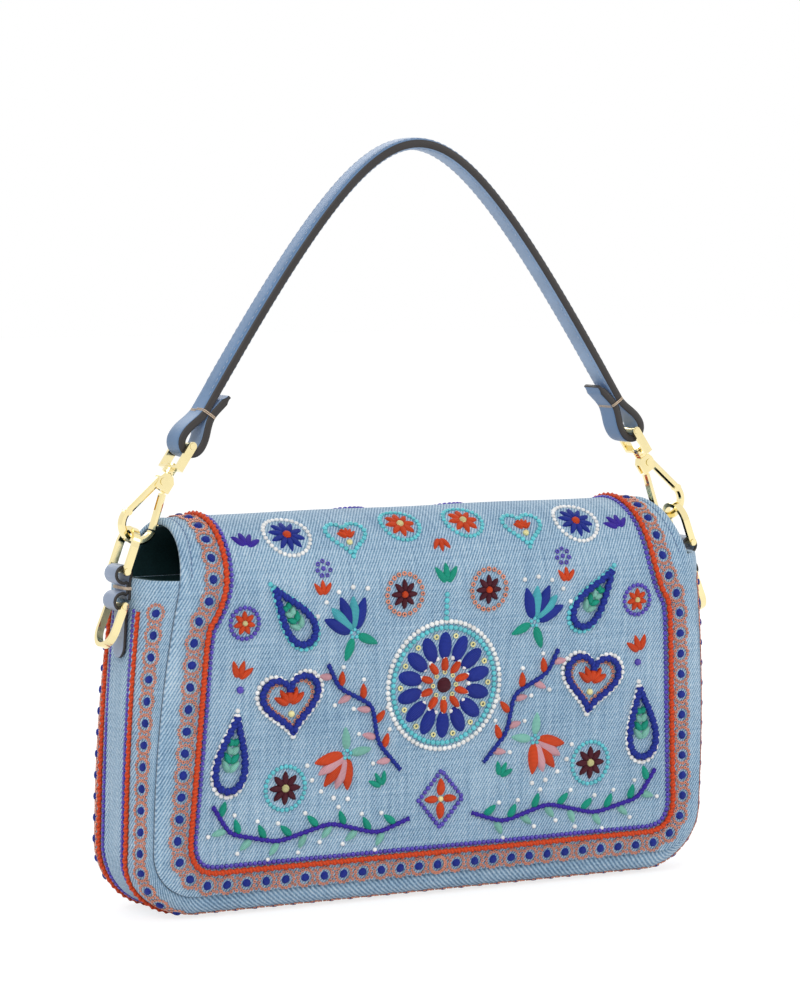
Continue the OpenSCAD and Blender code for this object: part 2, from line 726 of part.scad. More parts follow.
// Point of the tail, turned about the middle of its foot
function tail_point(x, u) = [
    -strap_t / 2 + x * cos(tail_flare) - u * sin(tail_flare),
    bind_u + x * sin(tail_flare) + u * cos(tail_flare)
];
module strap_end(side) color(leather_blue) hook_place(side) along_y(strap_w) difference() {
    polygon(concat(
        [[strap_t, bind_u]],
        drop_arc(fold_out, tangent_deg(fold_out, [strap_t, bind_u])),
        [
            [-strap_t, bind_u], [-strap_t / 2 - tail_half, bind_u],
            tail_point(-tail_half, tail_rise), tail_point(-tail_half / 2, tail_rise + tail_half),
            tail_point(tail_half / 2, tail_rise + tail_half), tail_point(tail_half, tail_rise),
            [-strap_t / 2 + tail_half, bind_u]
        ]
    ));
    polygon(concat(
        [[hole_tip, bind_u - hole_drop]],
        drop_arc(fold_in, tangent_deg(fold_in, [hole_tip, bind_u - hole_drop])),
        [[-hole_tip, bind_u - hole_drop]]
    ));
}
module binding(side) color(thread) hook_place(side) translate([0, 0, bind_u]) {
    room = 0.35;
    clear = layer_gap;
    difference() {
        cube([2 * (strap_t + thread_t + room), strap_w + 2 * (thread_t + clear), bind_h], center = true);
        cube([2 * (strap_t + room), strap_w + 2 * clear, 2 * bind_h], center = true);
    }
}

// Handle arch: a hyperbola through the two bindings with its top at handle_top
end_u = bind_u + bind_h / 2 + end_gap;
end_x = hook_x - end_u * sin(hook_tilt) + strap_t / 2 * cos(hook_tilt);
end_z = hook_z + end_u * cos(hook_tilt) + strap_t / 2 * sin(hook_tilt);
arch_drop = (handle_top - end_z) / (sqrt(1 + pow(end_x / arch_round, 2)) - 1);
strap_steps = 40;
function strap_z(x) = handle_top - arch_drop * (sqrt(1 + pow(x / arch_round, 2)) - 1);
function strap_slope(x) = -arch_drop * x / (pow(arch_round, 2) * sqrt(1 + pow(x / arch_round, 2)));
function strap_point(x, offset) =
    let (slope = strap_slope(x), length = sqrt(1 + pow(slope, 2)))
    [x - offset * slope / length, strap_z(x) + offset / length];
function strap_line(offset) =
    [for (i = [0 : strap_steps]) strap_point(end_x * (2 * i / strap_steps - 1), offset)];
function backwards(line) = [for (i = [len(line) - 1 : -1 : 0]) line[i]];
module strap_layer_body(low, high) {
    translate([0, hardware_y, 0]) along_y(strap_w)
        polygon(concat(strap_line(high), backwards(strap_line(low))));
}
module handle_outer() color(leather_blue) strap_layer_body(layer_gap / 2, strap_layer);
module handle_inner() color(leather_blue) strap_layer_body(-strap_layer, -layer_gap / 2);

gusset_strip();
rear_panel();
front_panel();
gusset_lining();
rear_lining();
front_lining();
base_board();
front_magnet();
pocket_patch();
zip_tape();
zip_chain();
zip_slider();
zip_pull();
flap_panel();
flap_lining();
flap_magnet();
tab(-1);  // left_tab
tab(1);  // right_tab
tab_thread(-1);  // left_tab_thread
tab_thread(1);  // right_tab_thread
upper_place(-1) ring_body();  // left_upper_ring
upper_place(1) ring_body();  // right_upper_ring
upper_place(-1) ring_pin();  // left_upper_pin
upper_place(1) ring_pin();  // right_upper_pin
lower_place(-1) ring_body();  // left_lower_ring
lower_place(1) ring_body();  // right_lower_ring
lower_place(-1) ring_pin();  // left_lower_pin
lower_place(1) ring_pin();  // right_lower_pin
hook_body(-1);  // left_hook_body
hook_body(1);  // right_hook_body
hook_gate(-1);  // left_hook_gate
hook_gate(1);  // right_hook_gate
gate_rivet(-1);  // left_gate_rivet
gate_rivet(1);  // right_gate_rivet
gate_spring(-1);  // left_gate_spring
gate_spring(1);  // right_gate_spring
hook_eye(-1);  // left_hook_eye
hook_eye(1);  // right_hook_eye
eye_bar(-1);  // left_eye_bar
eye_bar(1);  // right_eye_bar
handle_outer();
handle_inner();
strap_end(-1);  // left_strap_end
strap_end(1);  // right_strap_end
binding(-1);  // left_binding
binding(1);  // right_binding
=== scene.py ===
import math

import bpy
import numpy as np
from mathutils import Matrix


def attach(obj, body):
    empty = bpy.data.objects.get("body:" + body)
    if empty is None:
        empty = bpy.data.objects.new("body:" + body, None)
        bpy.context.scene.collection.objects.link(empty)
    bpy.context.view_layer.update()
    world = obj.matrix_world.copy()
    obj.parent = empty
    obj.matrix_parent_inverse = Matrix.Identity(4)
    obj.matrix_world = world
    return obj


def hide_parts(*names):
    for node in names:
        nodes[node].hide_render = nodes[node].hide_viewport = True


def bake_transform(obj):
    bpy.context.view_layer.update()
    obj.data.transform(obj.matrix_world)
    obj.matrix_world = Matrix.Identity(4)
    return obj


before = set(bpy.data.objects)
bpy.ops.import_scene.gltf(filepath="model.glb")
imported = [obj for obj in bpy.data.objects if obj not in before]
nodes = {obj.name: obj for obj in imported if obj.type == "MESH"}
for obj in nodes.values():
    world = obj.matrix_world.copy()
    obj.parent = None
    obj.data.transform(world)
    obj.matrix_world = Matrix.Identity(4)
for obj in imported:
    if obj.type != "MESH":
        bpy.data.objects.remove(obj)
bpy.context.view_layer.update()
rng = np.random.default_rng(11)

# everything below is worked out in millimetres and scaled once, in addMesh
mm = 0.001
lean = math.tan(math.radians(3.5))
body = dict(half=136.0, top=137.0, gussetHalf=26.0, gussetTaper=4.0, taperZ=40.0,
            seamHalf=130.2, seamTaper=9.6, seamLift=8.0, cornerR=19.0, stripR=26.0)
arch = dict(z=129.0, r=30.35, y=2.05, rear=28.3, front=32.4, crest=116.1, flap=120.0, flapLow=44.0)
archY = arch["y"] - lean * arch["z"]
sFront = arch["z"] + math.pi * arch["r"]
sEnd = sFront + arch["z"] - arch["flapLow"]
gearY = -lean * body["top"]
sides = ((-1, "left"), (1, "right"))


def lin(r, g, b):
    # screen colour 0..255 to the linear colour a shader wants
    c = np.array([r, g, b]) / 255.0
    return tuple(float(v) for v in np.where(c <= 0.04045, c / 12.92, ((c + 0.055) / 1.055) ** 2.4))


thread = {
    "cobalt": lin(34, 54, 158), "violet": lin(66, 44, 172), "orange": lin(234, 80, 34),
    "maroon": lin(84, 22, 38), "white": lin(240, 240, 238), "turquoise": lin(88, 196, 206),
    "mint": lin(148, 218, 198), "green": lin(28, 172, 142), "cream": lin(236, 228, 160),
    "pink": lin(238, 178, 186), "peach": lin(222, 138, 108), "sky": lin(120, 160, 210),
}


# mesh helpers

def addObject(name, data):
    obj = bpy.data.objects.new(name, data)
    bpy.context.scene.collection.objects.link(obj)
    return obj


def addMesh(name, verts, quads, mats, uv=None, tint=None, faceMat=None):
    # a face with its last corner twice is a triangle
    tri = quads[:, 2] == quads[:, 3]
    keep = np.ones(quads.shape, bool)
    keep[:, 3] = ~tri
    loops = quads[keep].astype(np.int32)
    sizes = keep.sum(1)
    me = bpy.data.meshes.new(name)
    me.vertices.add(len(verts))
    me.vertices.foreach_set("co", (np.asarray(verts) * mm).astype(np.float32).ravel())
    me.loops.add(len(loops))
    me.loops.foreach_set("vertex_index", loops)
    me.polygons.add(len(quads))
    me.polygons.foreach_set("loop_start", np.concatenate([[0], np.cumsum(sizes)[:-1]]).astype(np.int32))
    me.polygons.foreach_set("use_smooth", np.ones(len(quads), bool))
    if faceMat is not None:
        me.polygons.foreach_set("material_index", faceMat.astype(np.int32))
    me.update(calc_edges=True)
    if uv is not None:
        layer = me.uv_layers.new(name="cloth")
        layer.data.foreach_set("uv", uv[loops].astype(np.float32).ravel())
    if tint is not None:
        colour = me.attributes.new("tint", "FLOAT_COLOR", "POINT")
        full = np.column_stack([tint, np.ones(len(tint))])
        colour.data.foreach_set("color", full.astype(np.float32).ravel())
    for mat in mats:
        me.materials.append(mat)
    return addObject(name, me)


def gridQuads(rows, cols, wrap=False, base=0):
    i = np.arange(rows - 1)[:, None]
    j = np.arange(cols if wrap else cols - 1)[None, :]
    k = (j + 1) % cols
    corners = (i * cols + j, i * cols + k, (i + 1) * cols + k, (i + 1) * cols + j)
    return np.stack([np.broadcast_to(v, (rows - 1, j.size)) for v in corners], -1).reshape(-1, 4) + base


def shell(outer, inner, uv):
    # two grids of the same size, joined round their rims, outer first
    rows, cols = outer.shape[:2]
    n = rows * cols
    top = gridQuads(rows, cols)
    low = top[:, ::-1] + n
    index = np.arange(n).reshape(rows, cols)
    rim = np.concatenate([index[0, :-1], index[:-1, -1], index[-1, :0:-1], index[:0:-1, 0]])
    nxt = np.roll(rim, -1)
    side = np.column_stack([nxt, rim, rim + n, nxt + n])
    verts = np.concatenate([outer.reshape(-1, 3), inner.reshape(-1, 3)])
    return verts, np.concatenate([top, low, side]), np.concatenate([uv.reshape(-1, 2)] * 2)


def unit(v):
    return v / np.linalg.norm(v, axis=-1, keepdims=True)


def tangents(line):
    return unit(np.gradient(line, axis=0))


def leftOf(d):
    return np.column_stack([-d[:, 1], d[:, 0]])


# surfaces: a, b in, point out, with a and b in millimetres along the cloth
padding = dict(rear=1.5, front=0.9, soft=4.5, sunk=0.45, hem=0.55, hemAt=2.0, groove=0.40, grooveAt=4.3)
gusset = dict(wide=28.0, flat=5, floorFlat=15, underArch=28.05, dots=18.3, cord=10.6, beads=8.0)


def share(z):
    # 0 up to taperZ, rising as a square to 1 at the top
    return np.clip((z - body["taperZ"]) / (body["top"] - body["taperZ"]), 0, None) ** 2


def coverZ(s):
    # height of the cloth at s, measured along it from the rear's foot
    turn = np.clip((s - arch["z"]) / arch["r"], 0, math.pi)
    over = np.where(s < sFront, arch["z"] + arch["r"] * np.sin(turn), arch["z"] - (s - sFront))
    return np.where(s < arch["z"], s, over)


def panelHalf(z):
    # half width of a panel at height z, its lower corners round
    r = body["cornerR"]
    drop = np.clip(body["seamLift"] + r - z, 0, r)
    return body["seamHalf"] - body["seamTaper"] * share(z) - r + np.sqrt(r * r - drop * drop)


def coverHalf(s):
    # half width of the cloth at s: drawn in to the crest, then wider again down to the flap's round corners
    z = coverZ(s)
    hem = body["seamHalf"] - body["seamTaper"]
    top = arch["z"] + arch["r"]
    crest = hem + (arch["crest"] - hem) * np.clip((z - body["top"]) / (top - body["top"]), 0, 1)
    rear = np.where(z < body["top"], panelHalf(z), crest)
    low = arch["flapLow"] + body["cornerR"]
    drop = np.clip(low - z, 0, body["cornerR"])
    corner = body["cornerR"] - np.sqrt(body["cornerR"] ** 2 - drop * drop)
    lift = np.clip((z - arch["z"]) / arch["r"], 0, 1)
    front = arch["flap"] + (arch["crest"] - arch["flap"]) * lift - corner
    return np.where(s < arch["z"] + arch["r"] * math.pi / 2, rear, front)


def coverBase(s):
    # straight leaning rear, half circle over the top, straight leaning front
    turn = math.pi - np.clip((s - arch["z"]) / arch["r"], 0, math.pi)
    z = coverZ(s)
    y = np.where(s < arch["z"], -arch["rear"] - lean * z,
                 np.where(s < sFront, archY + arch["r"] * np.cos(turn), arch["front"] - lean * z))
    ny = np.where(s < arch["z"], -1.0, np.where(s < sFront, np.cos(turn), 1.0))
    nz = np.where(s < arch["z"], -lean, np.where(s < sFront, np.sin(turn), lean))
    return y, z, ny, nz


def coverPuff(x, s):
    # padding: low at the seams, full in the field, with slow waves in the cloth;
    # over the arch and on the flap also a rolled hem, with a groove where it is stitched
    gap = np.minimum(np.minimum(coverHalf(s) - np.abs(x), s - body["seamLift"]), sEnd - s)
    full = np.where(s < sFront - 20, padding["rear"], padding["front"])
    waves = 0.30 * np.sin(x / 31.0 + 0.8) * np.sin(s / 19.0) + 0.16 * np.sin(x / 13.0 - s / 23.0)
    soft = 1 - np.exp(-np.clip(gap, 0, None) / padding["soft"])
    hem = np.clip((s - 134) / 6, 0, 1)
    rolled = (padding["hem"] * np.exp(-((gap - padding["hemAt"]) / 1.5) ** 2)
              - padding["groove"] * np.exp(-((gap - padding["grooveAt"]) / 0.7) ** 2))
    return full * soft - padding["sunk"] + waves * soft + hem * rolled


def coverPoint(x, s, h=0.0):
    x, s = np.broadcast_arrays(np.asarray(x, float), np.asarray(s, float))
    y, z, ny, nz = coverBase(s)
    lift = coverPuff(x, s) + h
    return np.stack([x, y + ny * lift, z + nz * lift], -1)


def frontPoint(x, z, h=0.0):
    x, z = np.broadcast_arrays(np.asarray(x, float), np.asarray(z, float))
    gap = np.minimum(np.minimum(panelHalf(z) - np.abs(x), z - body["seamLift"]), 134 - z)
    lift = padding["front"] * (1 - np.exp(-np.clip(gap, 0, None) / padding["soft"])) - 0.5 + h
    return np.stack([x, arch["rear"] - lean * z + lift, z + 0 * x], -1)


# gusset: q runs 0..1 down the side, 1..2 round the corner, 2..3 along the floor to the middle
def gussetHalfPath(q, side, taper, lift, r):
    z0 = lift + r
    turn = np.clip(q - 1, 0, 1) * math.pi / 2
    z = np.where(q < 1, body["top"] - (body["top"] - z0) * q, z0 - r * np.sin(turn))
    x = np.where(q < 1, side - taper * share(z), side - r + r * np.cos(turn))
    return x, z


qLine = np.linspace(0, 3, 1501)
mx, mz = gussetHalfPath(np.minimum(qLine, 2), body["half"], body["gussetTaper"], 0.0, body["stripR"])
mx = np.where(qLine > 2, mx * (3 - qLine), mx)
tLine = np.concatenate([[0], np.cumsum(np.hypot(np.diff(mx), np.diff(mz)))])
gussetLong = 2 * tLine[-1]


def gussetBase(t, w):
    # t along the strip from the left side's top, w across it: flat in the middle, round to both seams
    right = t > gussetLong / 2
    q = np.interp(np.where(right, gussetLong - t, t), tLine, qLine)
    shrink = np.where(q > 2, 3 - q, 1.0)
    qq = np.minimum(q, 2)
    ax, az = gussetHalfPath(qq, body["half"], body["gussetTaper"], 0.0, body["stripR"])
    bx, bz = gussetHalfPath(qq, body["seamHalf"], body["seamTaper"], body["seamLift"], body["cornerR"])
    flat = gusset["flat"] + gusset["floorFlat"] * np.clip(q - 1, 0, 1)
    turn = np.clip((np.abs(w) - flat) / (gusset["wide"] - flat), 0, 1) * math.pi / 2
    part = np.cos(turn)
    x = (bx + (ax - bx) * part) * shrink
    z = bz + (az - bz) * part
    reach = np.sqrt(gusset["underArch"] ** 2 - np.clip(z - arch["z"], 0, 20) ** 2)
    half = np.where((w < 0) & (z > arch["z"]), reach - arch["y"], body["gussetHalf"])
    y = np.where(np.abs(w) <= flat, w, np.sign(w) * (flat + (half - flat) * np.sin(turn))) - lean * z
    return np.stack([np.where(right, x, -x), y, z], -1)


def framed(point, flip, a, b):
    # place, both tangents and outward normal of a surface at a, b
    e = 0.4
    ta = unit(point(a + e, b) - point(a - e, b))
    tb = unit(point(a, b + e) - point(a, b - e))
    return point(a, b), ta, tb, unit(np.cross(ta, tb) * flip)


surfaces = {"cover": (coverPoint, 1), "gusset": (gussetBase, -1), "front": (frontPoint, -1)}


# beads, stitched petals and cords, gathered in lists and meshed once a surface

work = {k: dict(petals=[], rounds=[], loops=[], cords=[]) for k in surfaces}


def petal(on, a, b, length, width, angle, colour, point=0.0, high=1.0):
    work[on]["petals"].append((a, b, length, width, angle, point, high, *thread[colour]))


def bead(on, a, b, size, colour, kind="rounds"):
    work[on][kind].append((a, b, size, *thread[colour]))


def away(a, b, turn, reach):
    # the point at a reach from a, b, turned from the cloth's long way
    return a + reach * math.sin(turn), b + reach * math.cos(turn)


def ringCount(r, pitch):
    return int(round(2 * math.pi * r / pitch))


def beadRing(on, a, b, r, count, size, colour, kind="rounds", start=0.0):
    for i in range(count):
        turn = start + 2 * math.pi * i / count
        bead(on, *away(a, b, turn, r), size, colour, kind)


def petalRing(on, a, b, r, count, length, width, colour, point=0.0, high=1.0, start=0.0):
    for i in range(count):
        turn = start + 2 * math.pi * i / count
        petal(on, *away(a, b, turn, r), length, width, turn, colour, point, high)


def cordLine(on, line, r, colour, twist=3.2):
    work[on]["cords"].append((np.asarray(line, float), r, twist, thread[colour]))


def beadLine(on, line, pitch, size, colour, kind="rounds"):
    for a, b in resample(line, pitch):
        bead(on, a, b, size, colour, kind)


def resample(line, pitch):
    line = np.asarray(line, float)
    far = np.concatenate([[0], np.cumsum(np.hypot(*np.diff(line, axis=0).T))])
    count = max(2, int(round(far[-1] / pitch)) + 1)
    at = np.linspace(0, far[-1], count)
    return np.column_stack([np.interp(at, far, line[:, 0]), np.interp(at, far, line[:, 1])])


def smoothLine(points, window):
    # corners rounded by averaging the line over a window, ends kept
    line = resample(points, 1.0)
    k = int(window)
    pad = np.concatenate([2 * line[0] - line[k:0:-1], line, 2 * line[-1] - line[-2:-k - 2:-1]])
    kernel = np.hanning(2 * k + 1)
    kernel /= kernel.sum()
    return np.column_stack([np.convolve(pad[:, c], kernel, "valid") for c in (0, 1)])


def aside(line, gap):
    # the line moved sideways, to its left
    return line + gap * leftOf(tangents(line))


# ring: radius, number and size of its beads
edging = dict(pitch=8.9, dot=(3.9, 3.5), ring=(3.5, 13, 1.5), link=2.6, linkBead=1.4,
              cordGap=5.5, cordR=1.05, beadGap=2.4, beadPitch=2.15, bead=2.0)


def ringedDots(on, line, pitch):
    # a stitched dot in a ring of open beads, with two link beads to the next
    spots = resample(line, pitch)
    for i, (a, b) in enumerate(spots):
        petal(on, a, b, *edging["dot"], 0.4 + i, "cobalt", 0.0, 1.1)
        beadRing(on, a, b, *edging["ring"], "peach", "loops", 0.3 * (i % 3))
    side = leftOf(unit(np.diff(spots, axis=0)))
    for shift in (edging["link"], -edging["link"]):
        for a, b in (spots[1:] + spots[:-1]) / 2 + shift * side:
            bead(on, a, b, edging["linkBead"], "peach", "loops")


def border(on, line, pitch):
    # from outside in: ringed dots, orange cord, violet beads
    ringedDots(on, line, pitch)
    cordLine(on, aside(line, edging["cordGap"]), edging["cordR"], "orange")
    inner = aside(line, edging["cordGap"] + edging["beadGap"])
    beadLine(on, inner, edging["beadPitch"], edging["bead"], "violet")


# motifs, all on the top cloth

def daisy(a, b, r, count, colour, middle, ring=None):
    petalRing("cover", a, b, r * 0.56, count, r * 0.84, 2.5 * r / count * 1.3, colour, 0.25)
    petal("cover", a, b, r * 0.5, r * 0.5, 0.0, middle, 0.0, 1.4)
    if ring:
        beadRing("cover", a, b, r * 1.22, max(8, ringCount(r * 1.22, 2.1)), 1.9, ring)


def vine(line, leafA, leafB, stem, step, size, side0=1):
    # cord stem with leaves left and right by turns, a bead beyond each tip
    line = smoothLine(line, 7)
    cordLine("cover", line, 0.85, stem, 2.6)
    spots = resample(line, step)
    d = np.gradient(spots, axis=0)
    for i, ((a, b), (da, db)) in enumerate(zip(spots[1:-1], d[1:-1])):
        side = side0 * (1 if i % 2 else -1)
        angle = math.atan2(da, db) + side * 0.95
        leaf = leafA if i % 2 else leafB
        petal("cover", *away(a, b, angle, size * 0.55), size, size * 0.45, angle, leaf, 0.3, 1.25)
        bead("cover", *away(a, b, angle, size * 1.05 + 1.6), 1.9, "white")


def sprig(a, b, angle, colour, size=5.0, count=3):
    # a few leaves fanned from one point
    for i in range(count):
        turn = angle + (i - (count - 1) / 2) * 0.62
        petal("cover", *away(a, b, turn, size * 0.62), size, size * 0.38, turn, colour, 0.3)


# border of the cover, from the middle of the rear's foot over the top to the middle of the flap's foot
halfBorder = [(0, 12), (106, 12), (113, 14), (118, 18.5), (120.8, 25), (121.2, 31),
              (119.9, 50), (118.6, 70), (117.3, 90), (115.9, 111), (114.6, 119.5),
              (110.1, 126.6), (107.0, 135.5), (106.1, 145), (105.6, 155), (105.2, 165),
              (105, 190), (105, 283), (103.0, 290.5), (98, 295.5), (91, 297.4), (0, 297.4)]
right = smoothLine(halfBorder, 5)
loop = np.concatenate([right, (right * [-1, 1])[-2::-1]])
halfLong = np.hypot(*np.diff(right, axis=0).T).sum()
border("cover", loop, halfLong / round(halfLong / edging["pitch"]))


def curve(shape, a, b, size, tip=0.0, count=90):
    # closed outline of unit size, scaled, turned and set down
    t = np.linspace(0, 2 * math.pi, count)
    x, y = shape(t)
    return np.column_stack([a + size * (x * math.cos(tip) + y * math.sin(tip)),
                            b + size * (y * math.cos(tip) - x * math.sin(tip))])


def heartShape(t):
    # the usual heart curve of sines and cosines, point down
    return np.sin(t) ** 3, (13 * np.cos(t) - 5 * np.cos(2 * t) - 2 * np.cos(3 * t) - np.cos(4 * t)) / 16


def dropShape(t):
    # teardrop, its tip up
    return 0.62 * np.sin(t) * np.sin(t / 2) ** 1.6, np.cos(t)


def heart(a, b, size, tip, colours, rows=2):
    # beaded outline, stitched filling of radiating petals and one bead
    outer, inner, fill = colours
    beadLine("cover", curve(heartShape, a, b, size, tip), 2.25, 2.1, outer)
    if rows > 1:
        cordLine("cover", curve(heartShape, a, b, size - 2.3, tip), 1.25, inner)
    for i in range(-2, 3):
        turn = tip + i * 0.5
        leafA, leafB = away(a, b, turn, size * 0.3)
        petal("cover", leafA, leafB - size * 0.12, size * 0.5, size * 0.2, turn, fill, 0.3, 1.5)
    bead("cover", *away(a, b, tip, size * -0.36), 2.8, "cream")
    if rows > 1:
        beadLine("cover", curve(heartShape, a, b, size - 4.6, tip), 2.0, 1.6, "peach", "loops")


def drop(a, b, size, tip, colours, fill):
    # teardrop of beads and cord with a feather of petals inside
    outer, inner = colours
    beadLine("cover", curve(dropShape, a, b, size + 2.2, tip), 2.25, 2.1, outer)
    cordLine("cover", curve(dropShape, a, b, size - 0.2, tip), 1.3, inner)
    for i in range(4):
        reach = size * (-0.50 + 0.24 * i)
        for side in (-1, 1):
            turn = tip + side * 0.62
            wide = size * (0.24 - 0.035 * i)
            stemA, stemB = away(a, b, tip, reach)
            petal("cover", *away(stemA, stemB, turn, wide * 0.9), size * (0.42 - 0.06 * i), size * 0.19,
                  turn, fill[i % 2], 0.3, 1.35)


def tulip(a, b, size, tip, colour, heartColour, leaf):
    # cup of five pointed petals over two leaves, a bead over each petal
    for i in (-2, 2, -1, 1, 0):
        turn = tip + i * 0.36
        reach = size * (0.52 if i else 0.60)
        petal("cover", *away(a, b, turn, reach), size * 0.86, size * 0.34, turn,
              colour if i % 2 == 0 else heartColour, 0.35, 1.5)
        bead("cover", *away(a, b, turn, size * 1.16), 2.0, "white")
    for side in (-1, 1):
        turn = tip + math.pi + side * 0.75
        petal("cover", *away(a, b, turn, size * 0.42), size * 0.62, size * 0.24, turn, leaf, 0.3, 1.3)
    beadRing("cover", a, b, 1.7, 5, 1.6, "turquoise")


def dahlia(a, b, r):
    # two rows of petals round a raised middle, bead rings between them and outside
    petalRing("cover", a, b, r * 0.66, 14, r * 0.48, r * 0.26, "cobalt", 0.0, 1.35)
    beadRing("cover", a, b, r * 0.84, 14, 2.4, "cream", "loops", start=math.pi / 14)
    beadRing("cover", a, b, r * 0.97, ringCount(r * 0.97, 2.3), 2.15, "turquoise")
    beadRing("cover", a, b, r * 1.07, ringCount(r * 1.07, 2.3), 2.15, "white")
    petalRing("cover", a, b, r * 0.36, 10, r * 0.28, 3.1, "orange", 0.2, 1.7)
    beadRing("cover", a, b, r * 0.47, 20, 1.9, "white")
    beadRing("cover", a, b, r * 0.22, 8, 2.0, "cream", "loops")
    petal("cover", a, b, r * 0.27, r * 0.27, 0.0, "maroon", 0.0, 1.9)


def diamond(a, b, wide, tall, outline, fill):
    # beaded rhombus with four petals to its corners
    corners = [(a - wide, b), (a, b + tall), (a + wide, b), (a, b - tall), (a - wide, b)]
    beadLine("cover", corners, 2.2, 2.0, outline)
    for turn in (0, 0.5 * math.pi, math.pi, 1.5 * math.pi):
        reach = 0.42 * (tall if turn % math.pi == 0 else wide)
        petal("cover", *away(a, b, turn, reach), reach * 1.5, reach * 0.75, turn, fill, 0.25, 1.4)
    bead("cover", a, b, 2.6, "cream")


def sided(side, points):
    return [(side * a, b) for a, b in points]


# the rear's field: a dahlia in the middle, tulips, hearts and drops round it
dahlia(0, 88, 25.0)
diamond(0, 40, 10.5, 12.0, "violet", "orange")
for side in (-1, 1):
    tulip(side * 43, 112, 16.5, side * 0.42, "cobalt", "turquoise", "green")
    tulip(side * 45, 62, 16.0, side * 0.9 + math.pi / 2 * side, "orange", "pink", "mint")
    heart(side * 72, 86, 15.0, side * 0.12, ("white", "cobalt", "orange"))
    drop(side * 72, 121, 14.0, side * 0.65, ("turquoise", "cobalt"), ("mint", "green"))
    drop(side * 98, 66, 15.5, side * -0.12, ("white", "cobalt"), ("mint", "green"))
    vine(sided(side, [(15, 33), (30, 28), (52, 34), (76, 28), (98, 33), (106, 45)]),
         "mint", "green", "violet", 6.4, 7.0, side)
    vine(sided(side, [(20, 54), (31, 66), (34, 82), (50, 90), (55, 100)]),
         "orange", "pink", "cobalt", 6.2, 6.8, -side)
    sprig(side * 96, 96, side * -0.35, "orange", 7.5)
    bead("cover", side * 95, 92, 3.0, "violet")
    daisy(side * 73, 50, 7.4, 8, "maroon", "cream", "turquoise")
    daisy(side * 93.5, 119, 5.2, 7, "orange", "cream", "violet")
    daisy(side * 20, 127, 6.4, 8, "maroon", "orange", None)
    beadRing("cover", side * 20, 127, 8.3, 20, 2.0, "peach", "loops")
    sprig(side * 28, 47, side * 0.5, "green", 6.5)
    sprig(side * 58, 128, 0.0, "orange", 6.0)
    beadRing("cover", side * 57, 139, 3.0, 7, 1.9, "violet", "loops")
    bead("cover", side * 57, 139, 2.0, "violet")
    # over the top
    heart(side * 42, 153, 9.0, 0.0, ("turquoise", "violet", "orange"), 1)
    daisy(side * 69, 155, 8.2, 10, "cobalt", "orange", "white")
    daisy(side * 15, 158, 7.0, 8, "orange", "cream", "turquoise")
    sprig(side * 89, 150, side * -0.2, "violet", 7.0, 4)
    # front of the flap
    drop(side * 30, 262, 16.0, math.pi + side * 0.5, ("white", "cobalt"), ("mint", "green"))
    tulip(side * 70, 252, 15.0, math.pi - side * 0.35, "cobalt", "sky", "green")
    heart(side * 52, 216, 13.0, math.pi, ("white", "maroon", "orange"))
    vine(sided(side, [(10, 284), (34, 281), (58, 286), (82, 281), (92, 268)]),
         "mint", "green", "violet", 6.4, 6.6, side)
    daisy(side * 84, 226, 8.0, 9, "maroon", "cream", "turquoise")
    daisy(side * 24, 192, 7.4, 9, "orange", "cream", "violet")
    sprig(side * 82, 196, 0.0, "green", 7.0)
    sprig(side * 54, 186, 0.0, "orange", 6.5)
beadLine("cover", [(0, 116), (0, 126)], 2.6, 2.3, "turquoise")
sprig(0, 130, 0.0, "green", 8.0)
sprig(0, 150, math.pi, "orange", 6.0)
dahlia(0, 228, 19.0)
diamond(0, 270, 8.0, 9.0, "violet", "orange")

# the same border twice on the gusset, one each side of the middle
for side in (-1, 1):
    line = np.column_stack([np.linspace(13, gussetLong - 13, 500), np.full(500, side * gusset["dots"])])
    ringedDots("gusset", line, edging["pitch"])
    cordLine("gusset", line * [1, 0] + [0, side * gusset["cord"]], 0.95, "orange")
    beadLine("gusset", line * [1, 0] + [0, side * gusset["beads"]], 2.0, 1.9, "violet")

# front panel under the flap: one line of dots and cord at its foot
line = smoothLine([(-117, 36), (-116, 24), (-106, 14), (106, 14), (116, 24), (117, 36)], 6)
border("front", line, edging["pitch"])
print("ornament laid out")


# materials

def material(name):
    mat = bpy.data.materials.new(name)
    mat.use_nodes = True
    tree = mat.node_tree
    return mat, tree, tree.nodes["Principled BSDF"]


def link(tree, a, b):
    tree.links.new(a, b)


def node(tree, kind):
    return tree.nodes.new("ShaderNode" + kind)


def setAll(shader, values):
    for key, value in values.items():
        shader.inputs[key].default_value = value


def mathNode(tree, op, a, b=None, c=None):
    n = node(tree, "Math")
    n.operation = op
    for i, v in enumerate((a, b, c)):
        if v is None:
            continue
        if isinstance(v, (int, float)):
            n.inputs[i].default_value = v
        else:
            link(tree, v, n.inputs[i])
    return n.outputs[0]


def times(tree, a, b):
    return mathNode(tree, "MULTIPLY", a, b)


def plus(tree, a, b):
    return mathNode(tree, "ADD", a, b)


def ripple(tree, along, length):
    return mathNode(tree, "SINE", times(tree, along, 2 * math.pi / length))


def uvPair(tree):
    uv = node(tree, "UVMap")
    uv.uv_map = "cloth"
    sep = node(tree, "SeparateXYZ")
    link(tree, uv.outputs[0], sep.inputs[0])
    return uv.outputs[0], sep.outputs[0], sep.outputs[1]


def placeOf(tree):
    return node(tree, "TexCoord").outputs["Object"]


def tintOf(tree):
    tint = node(tree, "Attribute")
    tint.attribute_name = "tint"
    return tint.outputs[0]


def noise(tree, vector, scale, detail=2.0, stretch=None):
    if stretch:
        m = node(tree, "Mapping")
        m.inputs["Scale"].default_value = stretch
        link(tree, vector, m.inputs[0])
        vector = m.outputs[0]
    n = node(tree, "TexNoise")
    setAll(n, {"Scale": scale, "Detail": detail})
    link(tree, vector, n.inputs["Vector"])
    return n.outputs[0]


